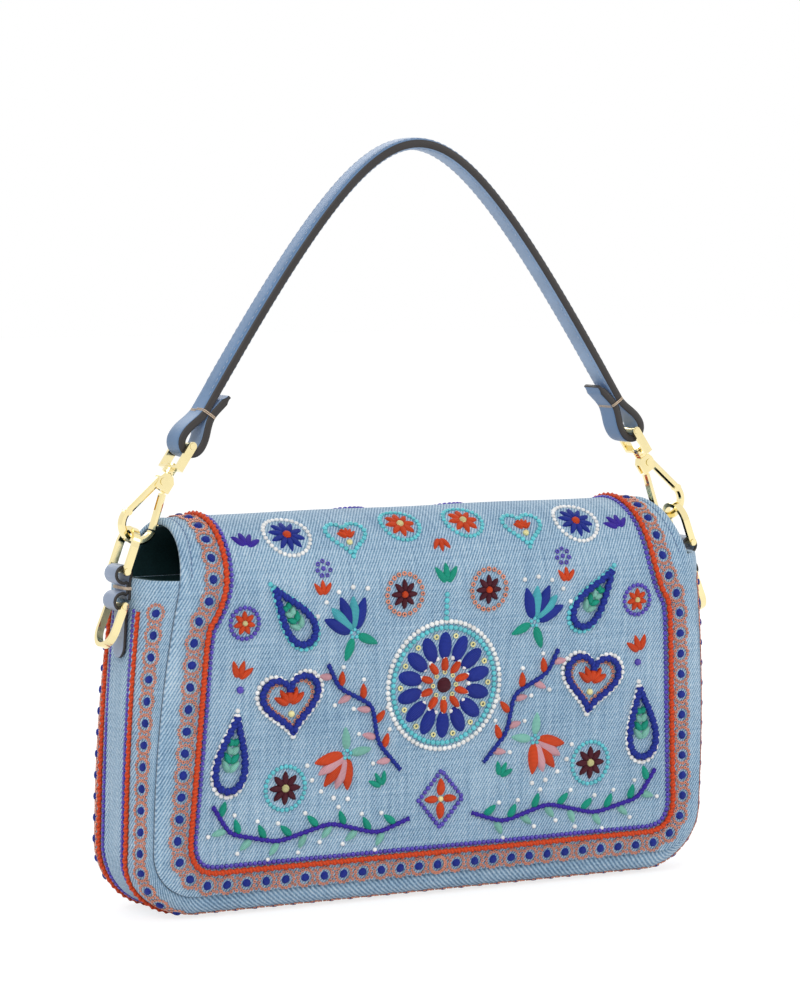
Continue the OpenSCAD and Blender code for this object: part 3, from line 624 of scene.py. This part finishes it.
def ramp(tree, fac, stops):
    n = node(tree, "ValToRGB")
    while len(n.color_ramp.elements) < len(stops):
        n.color_ramp.elements.new(0.5)
    for e, (at, colour) in zip(n.color_ramp.elements, stops):
        e.position = at
        e.color = (*colour, 1)
    link(tree, fac, n.inputs[0])
    return n.outputs[0]


def bumped(tree, shader, height, strength, distance):
    n = node(tree, "Bump")
    setAll(n, {"Strength": strength, "Distance": distance})
    link(tree, height, n.inputs["Height"])
    link(tree, n.outputs[0], shader.inputs["Normal"])


# marks: noise scale, detail, stretch and amount, for flecks, slubs, weft and fading
twill = dict(pitch=1.38, slope=-0.62, wander=0.5, rib=0.26, yarnPitch=0.95, yarn=0.035, tone=0.47,
             marks=[(1.6, 2.0, (0.9, 0.55, 1), 0.70), (1.0, 3.0, (0.55, 0.035, 1), 0.5),
                    (1.0, 2.0, (0.03, 0.7, 1), 0.3), (0.018, 2.0, None, 0.35)],
             colours=[(0.05, lin(84, 118, 150)), (0.34, lin(128, 162, 192)),
                      (0.6, lin(166, 196, 218)), (0.95, lin(214, 229, 239))])


def denim(name):
    # twill: diagonal ribs, broken by the yarns across them, over slow fading of the warp
    mat, tree, shader = material(name)
    uv, u, v = uvPair(tree)
    wander = times(tree, noise(tree, uv, 0.35, 2.0), twill["wander"])
    diag = plus(tree, plus(tree, u, times(tree, v, twill["slope"])), wander)
    rib = ripple(tree, diag, twill["pitch"])
    yarn = ripple(tree, v, twill["yarnPitch"])
    marks = [noise(tree, uv, *mark[:3]) for mark in twill["marks"]]
    tone = plus(tree, times(tree, rib, twill["rib"]), twill["tone"])
    for mark, (*_, amount) in zip(marks, twill["marks"]):
        swing = mathNode(tree, "SUBTRACT", mark, 0.5)
        tone = plus(tree, tone, times(tree, swing, amount))
    tone = plus(tree, tone, times(tree, yarn, twill["yarn"]))
    link(tree, ramp(tree, tone, twill["colours"]), shader.inputs["Base Color"])
    setAll(shader, {"Roughness": 0.85, "Sheen Weight": 0.25, "Specular IOR Level": 0.2})
    bumped(tree, shader, plus(tree, rib, times(tree, marks[0], 1.4)), 0.5, 0.00022)
    return mat


# length of one stitch's ridge and painted shade along the thread
threadWave = 0.55


def stitched():
    # each piece's own colour, with painted shade in fine lines across the stitches, where the grooves
    # between them fall
    mat, tree, shader = material("embroideryThread")
    uv, u, v = uvPair(tree)
    wave = ripple(tree, u, threadWave)
    mix = node(tree, "Mix")
    mix.data_type = "RGBA"
    mix.blend_type = "MULTIPLY"
    # painted shade: the colour multiplied darker and bluer in the grooves between stitches
    link(tree, mathNode(tree, "MULTIPLY_ADD", wave, -0.26, 0.30), mix.inputs[0])
    link(tree, tintOf(tree), mix.inputs[6])
    mix.inputs[7].default_value = (0.42, 0.42, 0.5, 1)
    link(tree, mix.outputs[2], shader.inputs["Base Color"])
    setAll(shader, {"Roughness": 0.6, "Specular IOR Level": 0.25})
    bumped(tree, shader, wave, 0.6, 0.00025)
    return mat


def glassy():
    # each bead's own colour under a thin coat
    mat, tree, shader = material("glassBead")
    link(tree, tintOf(tree), shader.inputs["Base Color"])
    setAll(shader, {"Roughness": 0.28, "Coat Weight": 0.4, "Coat Roughness": 0.1})
    bumped(tree, shader, noise(tree, placeOf(tree), 900.0), 0.12, 0.0002)
    return mat


def leather(name, colour, rough=0.42, grain=1.0):
    # smooth leather with a cell grain in its bump
    mat, tree, shader = material(name)
    cell = node(tree, "TexVoronoi")
    cell.inputs["Scale"].default_value = 1500.0
    link(tree, placeOf(tree), cell.inputs["Vector"])
    soft = noise(tree, placeOf(tree), 60.0)
    dark = tuple(c * 0.82 for c in colour)
    link(tree, ramp(tree, soft, [(0.3, dark), (0.7, colour)]), shader.inputs["Base Color"])
    setAll(shader, {"Roughness": rough, "Specular IOR Level": 0.45})
    bumped(tree, shader, cell.outputs[0], 0.25 * grain, 0.0002)
    return mat


def metal(name, colour, rough):
    # polished plate, a little worn in places
    mat, tree, shader = material(name)
    soft = noise(tree, placeOf(tree), 240.0, 3.0)
    worn = mathNode(tree, "MULTIPLY_ADD", soft, 0.12, rough - 0.05)
    link(tree, worn, shader.inputs["Roughness"])
    dull = tuple(c * 0.93 for c in colour)
    link(tree, ramp(tree, soft, [(0.2, dull), (0.8, colour)]), shader.inputs["Base Color"])
    shader.inputs["Metallic"].default_value = 1.0
    return mat


def cloth(name, colour):
    # plain weave or thread: fine noise between a darker and a paler tone
    mat, tree, shader = material(name)
    soft = noise(tree, placeOf(tree), 1400.0, 2.0)
    dark = tuple(c * 0.7 for c in colour)
    pale = tuple(min(1, c * 1.25) for c in colour)
    link(tree, ramp(tree, soft, [(0.3, dark), (0.75, pale)]), shader.inputs["Base Color"])
    shader.inputs["Roughness"].default_value = 0.8
    bumped(tree, shader, soft, 0.3, 0.0003)
    return mat


denimPanel = denim("denimPanel")
denimGusset = denim("denimGusset")
threadMat = stitched()
beadMat = glassy()
liningMat = cloth("liningCloth", lin(22, 62, 66))
strapOut = leather("strapFace", lin(140, 166, 198))
# inside face: the same leather as the outside face, painted darker as shade
strapInPaintedShade = leather("strapInsidePaintedShade", lin(100, 134, 174))
edgePaint = leather("strapEdge", lin(50, 46, 45), 0.5, 0.3)
tabLeather = leather("tabLeather", lin(150, 165, 190))
tanThread = cloth("tanThread", lin(206, 184, 160))
paleThread = cloth("paleThread", lin(164, 178, 198))
gold = metal("goldPlate", lin(248, 232, 178), 0.09)
zipGold = metal("zipGold", lin(226, 200, 128), 0.25)
steel = metal("brightSteel", lin(190, 192, 196), 0.25)
boardMat = cloth("fibreBoard", lin(95, 95, 98))
print("materials made")


# cloth shells
sheet = dict(thick=2.0, lining=(2.2, 2.9), liningInset=2.6, liningFrom=14.0, liningShort=3)


def footRows():
    # closer rows where the lower corners are round
    turn = np.linspace(0, math.pi / 2, 12)[:-1]
    return body["seamLift"] + body["cornerR"] * (1 - np.cos(turn))


def acrossRow(count):
    # from -1 to 1, closer together at both edges
    span = math.pi / 2 * 0.93
    return np.sin(np.linspace(-1, 1, count) * span) / math.sin(span)


def cover():
    # rows follow the cloth from the rear's foot over the top; each row is as wide as the outline there
    r = body["cornerR"]
    turn = np.linspace(0, math.pi / 2, 12)[1:]
    middle = np.linspace(body["seamLift"] + r, sEnd - r, 190)
    s = np.clip(np.concatenate([footRows(), middle, sEnd - r + r * np.sin(turn)]), body["seamLift"], sEnd)
    u = acrossRow(171)
    x = u[None, :] * coverHalf(s)[:, None]
    ss = np.broadcast_to(s[:, None], x.shape)
    uv = np.stack([x, ss], -1)
    outer = coverPoint(x, ss)
    y, z, ny, nz = coverBase(ss)
    inner = np.stack([x, y - ny * sheet["thick"], z - nz * sheet["thick"]], -1)
    verts, quads, flat = shell(outer, inner, uv)
    piece = addMesh("topCloth", verts, quads, [denimPanel], uv=flat)
    sl = np.clip(s, sheet["liningFrom"], sEnd - sheet["liningShort"])
    sl = sl[np.concatenate([[True], np.diff(sl) > 1e-6])]
    xl = u[None, :] * (coverHalf(sl)[:, None] - sheet["liningInset"])
    ss = np.broadcast_to(sl[:, None], xl.shape)
    y, z, ny, nz = coverBase(ss)
    a, b = (np.stack([xl, y - ny * deep, z - nz * deep], -1) for deep in sheet["lining"])
    verts, quads, flat = shell(a, b, np.stack([xl, ss], -1))
    return piece, addMesh("topLining", verts, quads, [liningMat], uv=flat)


def strip():
    # the gusset's surface, raised by slow waves and a folded hem at both ends
    t = np.linspace(0, gussetLong, 341)
    w = np.linspace(-gusset["wide"], gusset["wide"], 57)
    tt, ww = np.meshgrid(t, w, indexing="ij")
    tc = np.clip(tt, 0.5, gussetLong - 0.5)
    wc = np.clip(ww, -gusset["wide"] + 0.5, gusset["wide"] - 0.5)
    _, _, _, n = framed(gussetBase, -1, tc, wc)
    wave = 0.35 * np.sin(tt / 21.0) * np.cos(ww / 12.0) * np.cos(ww / gusset["wide"] * math.pi / 2)
    hem = 0.35 * np.exp(-(np.minimum(tt, gussetLong - tt) / 6.5) ** 4)
    outer = gussetBase(tt, ww) + n * (0.15 + wave + hem)[..., None]
    outer[..., 2] = np.maximum(outer[..., 2], 0.0)
    inner = gussetBase(tt, ww) - n * sheet["thick"]
    verts, quads, flat = shell(outer, inner, np.stack([ww, tt], -1))
    return addMesh("sideStrip", verts, quads[:, ::-1], [denimGusset], uv=flat)


def frontSheet():
    # the front panel, from its foot up to the inside of the arch
    z = np.concatenate([footRows(), np.linspace(body["seamLift"] + body["cornerR"], 134, 60)])
    x = acrossRow(121)[None, :] * panelHalf(z)[:, None]
    zz = np.broadcast_to(z[:, None], x.shape)
    outer = frontPoint(x, zz)
    inner = np.stack([x, arch["rear"] - lean * zz - sheet["thick"], zz], -1)
    verts, quads, flat = shell(outer, inner, np.stack([x, zz], -1))
    return addMesh("frontCloth", verts, quads[:, ::-1], [denimPanel], uv=flat)


# embroidery meshes

def roundShape():
    # bead: three rings between two poles, flattened underneath
    rings, around = 3, 7
    lat = np.linspace(-0.35, 1.0, rings)[:, None] * 0.62
    turn = np.arange(around)[None, :] * 2 * math.pi / around
    belt = np.stack([np.cos(turn) * np.cos(lat), np.sin(turn) * np.cos(lat), np.sin(lat) + 0 * turn], -1)
    verts = np.concatenate([[[0, 0, -0.55]], belt.reshape(-1, 3), [[0, 0, 0.82]]])
    last, top = 1 + (rings - 1) * around, len(verts) - 1
    low = [[0, 1 + (j + 1) % around, 1 + j, 1 + j] for j in range(around)]
    high = [[last + j, last + (j + 1) % around, top, top] for j in range(around)]
    return verts * 0.5, np.concatenate([low, high, gridQuads(rings, around, True, 1)])


def loopShape():
    # open bead: a ring with a hole, lying on the cloth
    major, minor = 8, 4
    a = np.arange(major)[:, None] * 2 * math.pi / major
    b = np.arange(minor)[None, :] * 2 * math.pi / minor + math.pi / 4
    r = 0.355 + 0.165 * np.cos(b)
    verts = np.stack([r * np.cos(a), r * np.sin(a), 0.19 * np.sin(b) + 0.14 + 0 * a], -1)
    verts = np.concatenate([verts, verts[:1]]).reshape(-1, 3)
    quads = gridQuads(major + 1, minor, True)[:, ::-1]
    quads = np.where(quads >= major * minor, quads - major * minor, quads)
    return verts[: major * minor], quads[:, ::-1]


def spread(shape, p, ta, tb, n, sa, sb, sn):
    # one copy of a small shape at each point, sized along its two tangents and the normal
    verts, quads = shape
    many = len(p)
    out = (p[:, None] + ta[:, None] * (verts[None, :, 0] * sa[:, None])[..., None]
           + tb[:, None] * (verts[None, :, 1] * sb[:, None])[..., None]
           + n[:, None] * (verts[None, :, 2] * sn[:, None])[..., None])
    index = quads[None] + (np.arange(many) * len(verts))[:, None, None]
    return out.reshape(-1, 3), index.reshape(-1, 4)


def beadsOn(on, kind, shape, name):
    rows = np.array(work[on][kind])
    point, flip = surfaces[on]
    a, b, size = rows[:, 0], rows[:, 1], rows[:, 2] * rng.uniform(1.0, 1.1, len(rows))
    p, ta, tb, n = framed(point, flip, a, b)
    tb = np.cross(n, ta)
    verts, quads = spread(shape, p + n * 0.2, ta, tb, n, size, size, size)
    tint = np.repeat(rows[:, 3:6] * rng.uniform(0.85, 1.12, (len(rows), 1)), len(shape[0]), 0)
    return addMesh(name, verts, quads, [beadMat], tint=np.clip(tint, 0, 1))


def petalsOn(on, name):
    # petal: half length along its axis times cos, half width times sin, narrowed to the tip, domed over
    rows = np.array(work[on]["petals"])
    point, flip = surfaces[on]
    rings, around = 4, 16
    rho = np.linspace(1, 0, rings + 1)[:-1][:, None]
    turn = (np.arange(around) * 2 * math.pi / around)[None, :]
    up = np.concatenate([(rho * np.cos(turn)).ravel(), [0]])
    out = np.concatenate([(rho * np.sin(turn)).ravel(), [0]])
    dist = np.concatenate([np.repeat(rho.ravel(), around), [0]])
    a, b, length, width, angle, pinch, high = (rows[:, i][:, None] for i in range(7))
    along = up * length / 2
    across = out * width / 2 * (1 - pinch * up - 0.25 * pinch * up * up)
    aa = a + along * np.sin(angle) + across * np.cos(angle)
    bb = b + along * np.cos(angle) - across * np.sin(angle)
    _, _, _, n = framed(point, flip, np.broadcast_to(a, aa.shape), np.broadcast_to(b, aa.shape))
    high = 1.3 * high * (np.sqrt(np.clip(1 - dist ** 2, 0, 1)) ** 0.7) - 0.12
    verts = point(aa, bb) + n * high[..., None]
    quads = gridQuads(rings, around, True)
    last = (rings - 1) * around
    top = rings * around
    tip = [[last + j, last + (j + 1) % around, top, top] for j in range(around)]
    quads = np.concatenate([quads, tip])
    if flip > 0:
        quads = quads[:, [1, 0, 3, 2]]
    index = (quads[None] + (np.arange(len(rows)) * len(up))[:, None, None]).reshape(-1, 4)
    offset = rng.uniform(0, 5, (len(rows), 1))
    uv = np.stack([along + offset, across + offset], -1).reshape(-1, 2)
    tint = np.repeat(rows[:, 7:10] * rng.uniform(0.9, 1.08, (len(rows), 1)), len(up), 0)
    return addMesh(name, verts.reshape(-1, 3), index, [threadMat], uv=uv, tint=np.clip(tint, 0, 1))


cord = dict(around=8, step=0.5, swell=0.34, raised=0.75, slant=0.175)


def cordsOn(on, name):
    # two-ply cord: a round section whose radius swells twice a turn, the swelling wound along it
    point, flip = surfaces[on]
    parts, base = [], 0
    around = cord["around"]
    turn = (np.arange(around) * 2 * math.pi / around)[None, :]
    for line, r, twist, colour in work[on]["cords"]:
        line = resample(line, cord["step"])
        p, ta, tb, n = framed(point, flip, line[:, 0], line[:, 1])
        side = np.cross(n, tangents(p))
        far = np.arange(len(p))[:, None] * cord["step"]
        rad = r * (1 + cord["swell"] * np.cos(2 * turn - far * 2 * math.pi / twist))
        verts = ((p + n * r * cord["raised"])[:, None] + side[:, None] * (rad * np.cos(turn))[..., None]
                 + n[:, None] * (rad * np.sin(turn))[..., None]).reshape(-1, 3)
        ends = np.array([[0, j, j + 1, j + 1] for j in range(1, around - 1)])
        farEnds = (ends + (len(p) - 1) * around)[:, [0, 2, 1, 1]]
        quads = np.concatenate([gridQuads(len(p), around, True)[:, ::-1], ends, farEnds])
        ring = np.broadcast_to(turn, rad.shape)
        # this uv winds the thread's painted shade lines along the grooves of the twist
        uv = np.stack([far * 2 * threadWave / twist - ring * cord["slant"], ring], -1).reshape(-1, 2)
        parts.append((verts, quads + base, uv, np.repeat([colour], len(verts), 0)))
        base += len(verts)
    verts, quads, uv, tint = (np.concatenate(v) for v in zip(*parts))
    return addMesh(name, verts, quads, [threadMat], uv=uv, tint=tint)


def seamStitch(point, flip, line, pitch, name, size):
    spots = resample(line, pitch)
    p, ta, tb, n = framed(point, flip, spots[:, 0], spots[:, 1])
    t = tangents(p)
    sizes = (np.full(len(p), v * 1.1) for v in size)
    verts, quads = spread(roundShape(), p + n * 0.12, t, np.cross(n, t), n, *sizes)
    return addMesh(name, verts, quads, [darkThread])


def ornament(on, word):
    return [petalsOn(on, word + "Petals"), beadsOn(on, "rounds", roundShape(), word + "Beads"),
            beadsOn(on, "loops", loopShape(), word + "OpenBeads"), cordsOn(on, word + "Cords")]


topCloth, topLining = cover()
stripCloth = strip()
frontCloth = frontSheet()
topPieces = [topCloth, topLining] + ornament("cover", "top")
hemGap = padding["grooveAt"]
edge = [(float(coverHalf(np.array(s))) - hemGap, s) for s in np.linspace(sEnd - 5, 139, 160)]
edge = np.array([(0, sEnd - hemGap)] + edge)
darkThread = cloth("blueThread", lin(104, 130, 166))
for side, word in sides:
    topPieces.append(seamStitch(coverPoint, 1, edge * [side, 1], 2.6, word + "TopStitch", (1.9, 0.5, 0.4)))
for piece in topPieces:
    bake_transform(piece)
bagPieces = [stripCloth, frontCloth] + ornament("gusset", "strip") + ornament("front", "front")
for word, t in (("left", 4.0), ("right", gussetLong - 4.0)):
    hemLine = np.column_stack([np.full(60, t), np.linspace(-23, 23, 60)])
    bagPieces.append(seamStitch(gussetBase, -1, hemLine, 2.2, word + "HemStitch", (1.7, 0.5, 0.4)))
for piece in bagPieces:
    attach(piece, "bag")
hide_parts("rear_panel", "flap_panel")
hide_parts("rear_lining", "flap_lining")
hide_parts("gusset_strip")
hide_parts("front_panel")
print("cloth and embroidery made")


# handle

hook = dict(x=131.137, z=152.466, tilt=math.radians(34))


def tilted(part, x, z):
    # a part's own x, z in the bag's
    c, s = math.cos(part["tilt"]), math.sin(part["tilt"])
    return np.stack([part["x"] + x * c - z * s, part["z"] + x * s + z * c], -1)


def atDepth(flat, y):
    return np.column_stack([flat[:, 0], y + 0 * flat[:, 0], flat[:, 1]])


def sweepBand(path, half, thick, dome):
    # band along a path in the XZ plane: width on Y, faces domed, edges rounded
    n = leftOf(tangents(path))
    faceP = np.linspace(-1, 1, 11)
    edgeP = np.linspace(-1, 1, 6)[1:-1]
    p = np.concatenate([faceP, 1 + 0 * edgeP, -faceP, -1 + 0 * edgeP])
    bulge = np.concatenate([0 * faceP, np.sqrt(1 - edgeP ** 2), 0 * faceP, -np.sqrt(1 - edgeP ** 2)])
    q = np.concatenate([1 + 0 * faceP, -edgeP, -1 + 0 * faceP, edgeP])
    crown = np.concatenate([1 - faceP ** 4, 0 * edgeP, -(1 - faceP ** 4), 0 * edgeP])
    y = gearY + (half - 0.5) * p[None, :] + 0.5 * bulge[None, :] + 0 * thick[:, None]
    off = thick[:, None] / 2 * q[None, :] + dome[:, None] * crown[None, :]
    x = path[:, :1] + n[:, :1] * off
    z = path[:, 1:] + n[:, 1:] * off
    cols = len(p)
    verts = np.stack([x, y, z], -1).reshape(-1, 3)
    # materials: 0 and 1 the two faces, 2 the edges and ends
    strips = np.tile(np.repeat([0, 2, 1, 2], [10, 5, 10, 5]), len(path) - 1)
    ends = []
    for row, order in ((0, 1), (len(path) - 1, -1)):
        ring = np.arange(cols) + row * cols
        for k in range(cols // 2 - 1):
            ends.append([ring[k], ring[cols - 1 - k], ring[cols - 2 - k], ring[k + 1]][::order])
    quads = np.concatenate([gridQuads(len(path), cols, True), ends])
    return verts, quads, np.concatenate([strips, np.full(len(ends), 2)])


# u runs from the hook's wire up along its tilt; the loop goes round the eye's bar, the legs meet at bindU
strapSet = dict(half=6.0, thick=3.25, flatDome=0.10, dome=0.80, domeFrom=56, domeRun=14, loopR=4.8,
                loopU=46.2, legX=1.65, bindU=61.2, top=311.8, curve=47.0)
stitchSet = dict(row=4.1, start=61, every=3, size=(2.0, 0.55, 0.35))
bindSet = dict(u=59.6, half=3.45, wide=6.25, turns=2, r=0.25, rise=0.62, square=0.35)


def strapPath():
    # one band: tail, round the eye bar, up the arch and down the other side the same way;
    # the arch is a hyperbola, z = top - drop * (sqrt(1 + (x / curve) squared) - 1)
    r, legX, bindU = strapSet["loopR"], strapSet["legX"], strapSet["bindU"]
    low = np.radians(np.linspace(180, 360, 13))
    leg = [(legX, 58.6), (2.6, 55.2), (4.1, 51.2), (4.7, 48.6)]
    tail = np.array([(-4.0, 70.6), (-2.7, 65.0), (-1.8, bindU)] + [(-x, u) for x, u in leg]
                    + [(r * math.cos(v), strapSet["loopU"] + r * math.sin(v)) for v in low]
                    + leg[::-1] + [(legX, bindU)])
    local = tilted(hook, tail[:, 0], tail[:, 1])
    ex, ez = local[-1]
    k, top = strapSet["curve"], strapSet["top"]
    drop = (top - ez) / (math.sqrt(1 + (ex / k) ** 2) - 1)
    x = np.linspace(ex, 0, 60)[1:]
    arc = np.column_stack([x, top - drop * (np.sqrt(1 + (x / k) ** 2) - 1)])
    half = np.concatenate([local, arc])
    return smoothLine(np.concatenate([half, (half * [-1, 1])[-2::-1]]), 3)


path = strapPath()[::-1]
far = np.arange(len(path)) * 1.0
fromEnd = np.minimum(far, far[-1] - far)
full = np.clip((fromEnd - strapSet["domeFrom"]) / strapSet["domeRun"], 0, 1)
full = full * full * (3 - 2 * full)
dome = strapSet["flatDome"] + strapSet["dome"] * full
thin = np.clip(fromEnd / 3.0, 0.45, 1)
verts, quads, faceMat = sweepBand(path, strapSet["half"], strapSet["thick"] * thin, dome * thin)
# face 0 takes the inside leather, which is painted darker as shade
strap = addMesh("strap", verts, quads, [strapInPaintedShade, strapOut, edgePaint], faceMat=faceMat)
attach(strap, "handle")
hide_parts("handle_outer", "handle_inner", "left_strap_end", "right_strap_end")

# stitches: small bars in two rows beside the edges, on both faces
sewn = np.flatnonzero(fromEnd > stitchSet["start"])[::stitchSet["every"]]
run = tangents(path)[sewn]
crownAt = 1 - (stitchSet["row"] / (strapSet["half"] - 0.5)) ** 4
rise = (strapSet["thick"] / 2 + dome * crownAt)[sewn, None]
size = [np.full(len(sewn), v) for v in stitchSet["size"]]
stitchV, stitchQ, base = [], [], 0
for row in (-1, 1):
    for face in (-1, 1):
        out = leftOf(run) * face
        p3 = atDepth(path[sewn] + out * rise, gearY + row * stitchSet["row"])
        t3, n3 = atDepth(run, 0), atDepth(out, 0)
        v, q = spread(roundShape(), p3, t3, np.cross(n3, t3), n3, *size)
        stitchV.append(v)
        stitchQ.append(q + base)
        base += len(v)
stitches = addMesh("strapStitch", np.concatenate(stitchV), np.concatenate(stitchQ), [paleThread])
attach(stitches, "handle")


def woundThread():
    # thread round the strap: a rounded rectangle, each side times cos or sin to a low power,
    # climbing a little each turn
    turns, power = bindSet["turns"], bindSet["square"]
    a = np.linspace(0, turns * 2 * math.pi, 40 * turns)
    c, s = np.cos(a), np.sin(a)
    lx = bindSet["half"] * np.sign(c) * np.abs(c) ** power
    ly = bindSet["wide"] * np.sign(s) * np.abs(s) ** power
    uu = bindSet["u"] + (a / (2 * math.pi) - turns / 2) * bindSet["rise"]
    mid = atDepth(tilted(hook, lx, uu), gearY + ly)
    up = np.array([-math.sin(hook["tilt"]), 0, math.cos(hook["tilt"])])
    sd = unit(np.cross(tangents(mid), up))
    ring = (np.arange(6) * math.pi / 3)[None, :]
    v = mid[:, None] + bindSet["r"] * (up * np.cos(ring)[..., None] + sd[:, None] * np.sin(ring)[..., None])
    caps = np.array([[0, 1, 2, 3], [0, 3, 4, 5]])
    q = np.concatenate([gridQuads(len(mid), 6, True), caps[:, ::-1], caps + (len(mid) - 1) * 6])
    return v.reshape(-1, 3), q


v, q = woundThread()
for sign, word in sides:
    piece = addMesh(word + "Wound", v * [sign, 1, 1], q[:, ::sign], [tanThread])
    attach(piece, "handle")
    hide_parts(word + "_binding")

# tab: a band from its tail up round the lower pin, in to the waist, round the upper pin and down behind
tabSet = dict(x=131.9005, z=138.2, tilt=math.radians(4), loopX=3.9, pitch=10.8, loopR=3.35,
              half=5.5, thick=1.35, dome=0.12, tailR=5.5)


def arcPoints(cx, cz, r, a0, a1, count):
    a = np.radians(np.linspace(a0, a1, count))
    return np.column_stack([cx + r * np.cos(a), cz + r * np.sin(a)])


cx, r0 = tabSet["loopX"], tabSet["loopR"]
tabLine = smoothLine(np.concatenate([
    [(1.75, -33.8), (1.75, -24.0), (1.8, -17.5)], arcPoints(cx, -tabSet["pitch"], r0, -122, 122, 20),
    [(1.9, -6.2), (1.9, -4.6)], arcPoints(cx, 0, r0, -122, 170, 24), [(0.9, -2.0), (0.8, -10.0)]]), 1)
tabPath = tilted(tabSet, tabLine[:, 0], tabLine[:, 1])
rows = len(tabPath)
v, q, f = sweepBand(tabPath, tabSet["half"], np.full(rows, tabSet["thick"]), np.full(rows, tabSet["dome"]))
# the tail's end is round: width by a circle over its first millimetres
narrow = np.sqrt(np.clip(1 - np.clip(1 - np.arange(rows) / tabSet["tailR"], 0, 1) ** 2, 0.04, 1))
v = v.reshape(rows, -1, 3)
v[..., 1] = gearY + (v[..., 1] - gearY) * narrow[:, None]
v = v.reshape(-1, 3)
for sign, word in sides:
    mats = [tabLeather, tabLeather, edgePaint]
    piece = addMesh(word + "TabBand", v * [sign, 1, 1], q[:, ::-sign], mats, faceMat=f)
    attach(piece, "bag")
    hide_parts(word + "_tab")
print("handle and tabs made")


# CAD pieces that show as they are
paired = {gold: ["upper_ring", "upper_pin", "lower_ring", "lower_pin", "hook_body", "hook_gate",
                 "gate_rivet", "hook_eye", "eye_bar"],
          steel: ["gate_spring"], tanThread: ["tab_thread"]}
single = {liningMat: ["gusset_lining", "front_lining", "pocket_patch", "zip_tape"],
          zipGold: ["zip_chain", "zip_slider", "zip_pull"],
          steel: ["front_magnet", "flap_magnet"], boardMat: ["base_board"]}
for table, heads in ((paired, ("left_", "right_")), (single, ("",))):
    for mat, words in table.items():
        for name in [head + word for word in words for head in heads]:
            nodes[name].data.materials.clear()
            nodes[name].data.materials.append(mat)


# stage, light and camera
stage = dict(floorZ=-0.0021, floorHalf=6, white=0.62, glow=1.26, sky=0.62, skySeen=0.38, aim=(0, 0, 0.12))
lights = {"keyLight": ((-1.3, -1.5, 1.6), (1.0, 1.0), 17), "fillLight": ((1.6, -1.2, 0.9), (1.0, 1.2), 7),
          "backLight": ((0.2, 1.5, 1.3), (1.4, 0.8), 9)}


def turned(obj, back, place):
    # an object at a place, its own z along back and its x level
    rightAxis = unit(np.cross([0, 0, 1], back))
    up = np.cross(back, rightAxis)
    rows = [[float(rightAxis[i]), float(up[i]), float(back[i]), place[i]] for i in range(3)]
    obj.matrix_world = Matrix(rows + [[0, 0, 0, 1]])


half, z = stage["floorHalf"], stage["floorZ"]
corners = [(-half, -half, z), (half, -half, z), (half, half, z), (-half, half, z)]
floorMesh = bpy.data.meshes.new("floor")
floorMesh.from_pydata(corners, [], [(0, 1, 2, 3)])
floor = addObject("floor", floorMesh)
floorMat, tree, shader = material("paleFloor")
setAll(shader, {"Base Color": (0.93, 0.93, 0.93, 1), "Roughness": 0.9})
floorMesh.materials.append(floorMat)
# seen directly or mirrored, the floor is mostly plain white with a faint shadow; other rays see it plain
glow, seen, mix = node(tree, "Emission"), node(tree, "LightPath"), node(tree, "MixShader")
whiteRays = plus(tree, seen.outputs["Is Camera Ray"], seen.outputs["Is Glossy Ray"])
link(tree, times(tree, whiteRays, stage["white"]), mix.inputs[0])
glow.inputs["Strength"].default_value = stage["glow"]
link(tree, shader.outputs[0], mix.inputs[1])
link(tree, glow.outputs[0], mix.inputs[2])
link(tree, mix.outputs[0], tree.nodes["Material Output"].inputs["Surface"])

sky = bpy.data.worlds.new("studio")
bpy.context.scene.world = sky
sky.use_nodes = True
tree = sky.node_tree
tree.nodes["Background"].inputs[0].default_value = (1, 1, 1, 1)
seen = node(tree, "LightPath")
power = mathNode(tree, "MULTIPLY_ADD", seen.outputs["Is Camera Ray"], stage["skySeen"], stage["sky"])
power = mathNode(tree, "MULTIPLY_ADD", seen.outputs["Is Glossy Ray"], stage["skySeen"], power)
link(tree, power, tree.nodes["Background"].inputs[1])
for name, (place, size, watts) in lights.items():
    data = bpy.data.lights.new(name, "AREA")
    data.shape = "RECTANGLE"
    data.size, data.size_y = size
    data.energy = watts
    turned(addObject(name, data), unit(np.subtract(place, stage["aim"])), place)

view = dict(place=(-0.7784, -1.3874, 0.2877), yaw=math.radians(-29.25), pitch=math.radians(4.5),
            lens=136.44)
camData = bpy.data.cameras.new("camera")
camData.lens = view["lens"]
camData.sensor_width = 36
camData.clip_end = 50
cam = addObject("camera", camData)
a, e = view["yaw"], view["pitch"]
turned(cam, (math.sin(a) * math.cos(e), -math.cos(a) * math.cos(e), math.sin(e)), view["place"])
bpy.context.scene.camera = cam
bpy.context.scene.view_settings.view_transform = "Standard"
print("stage set")
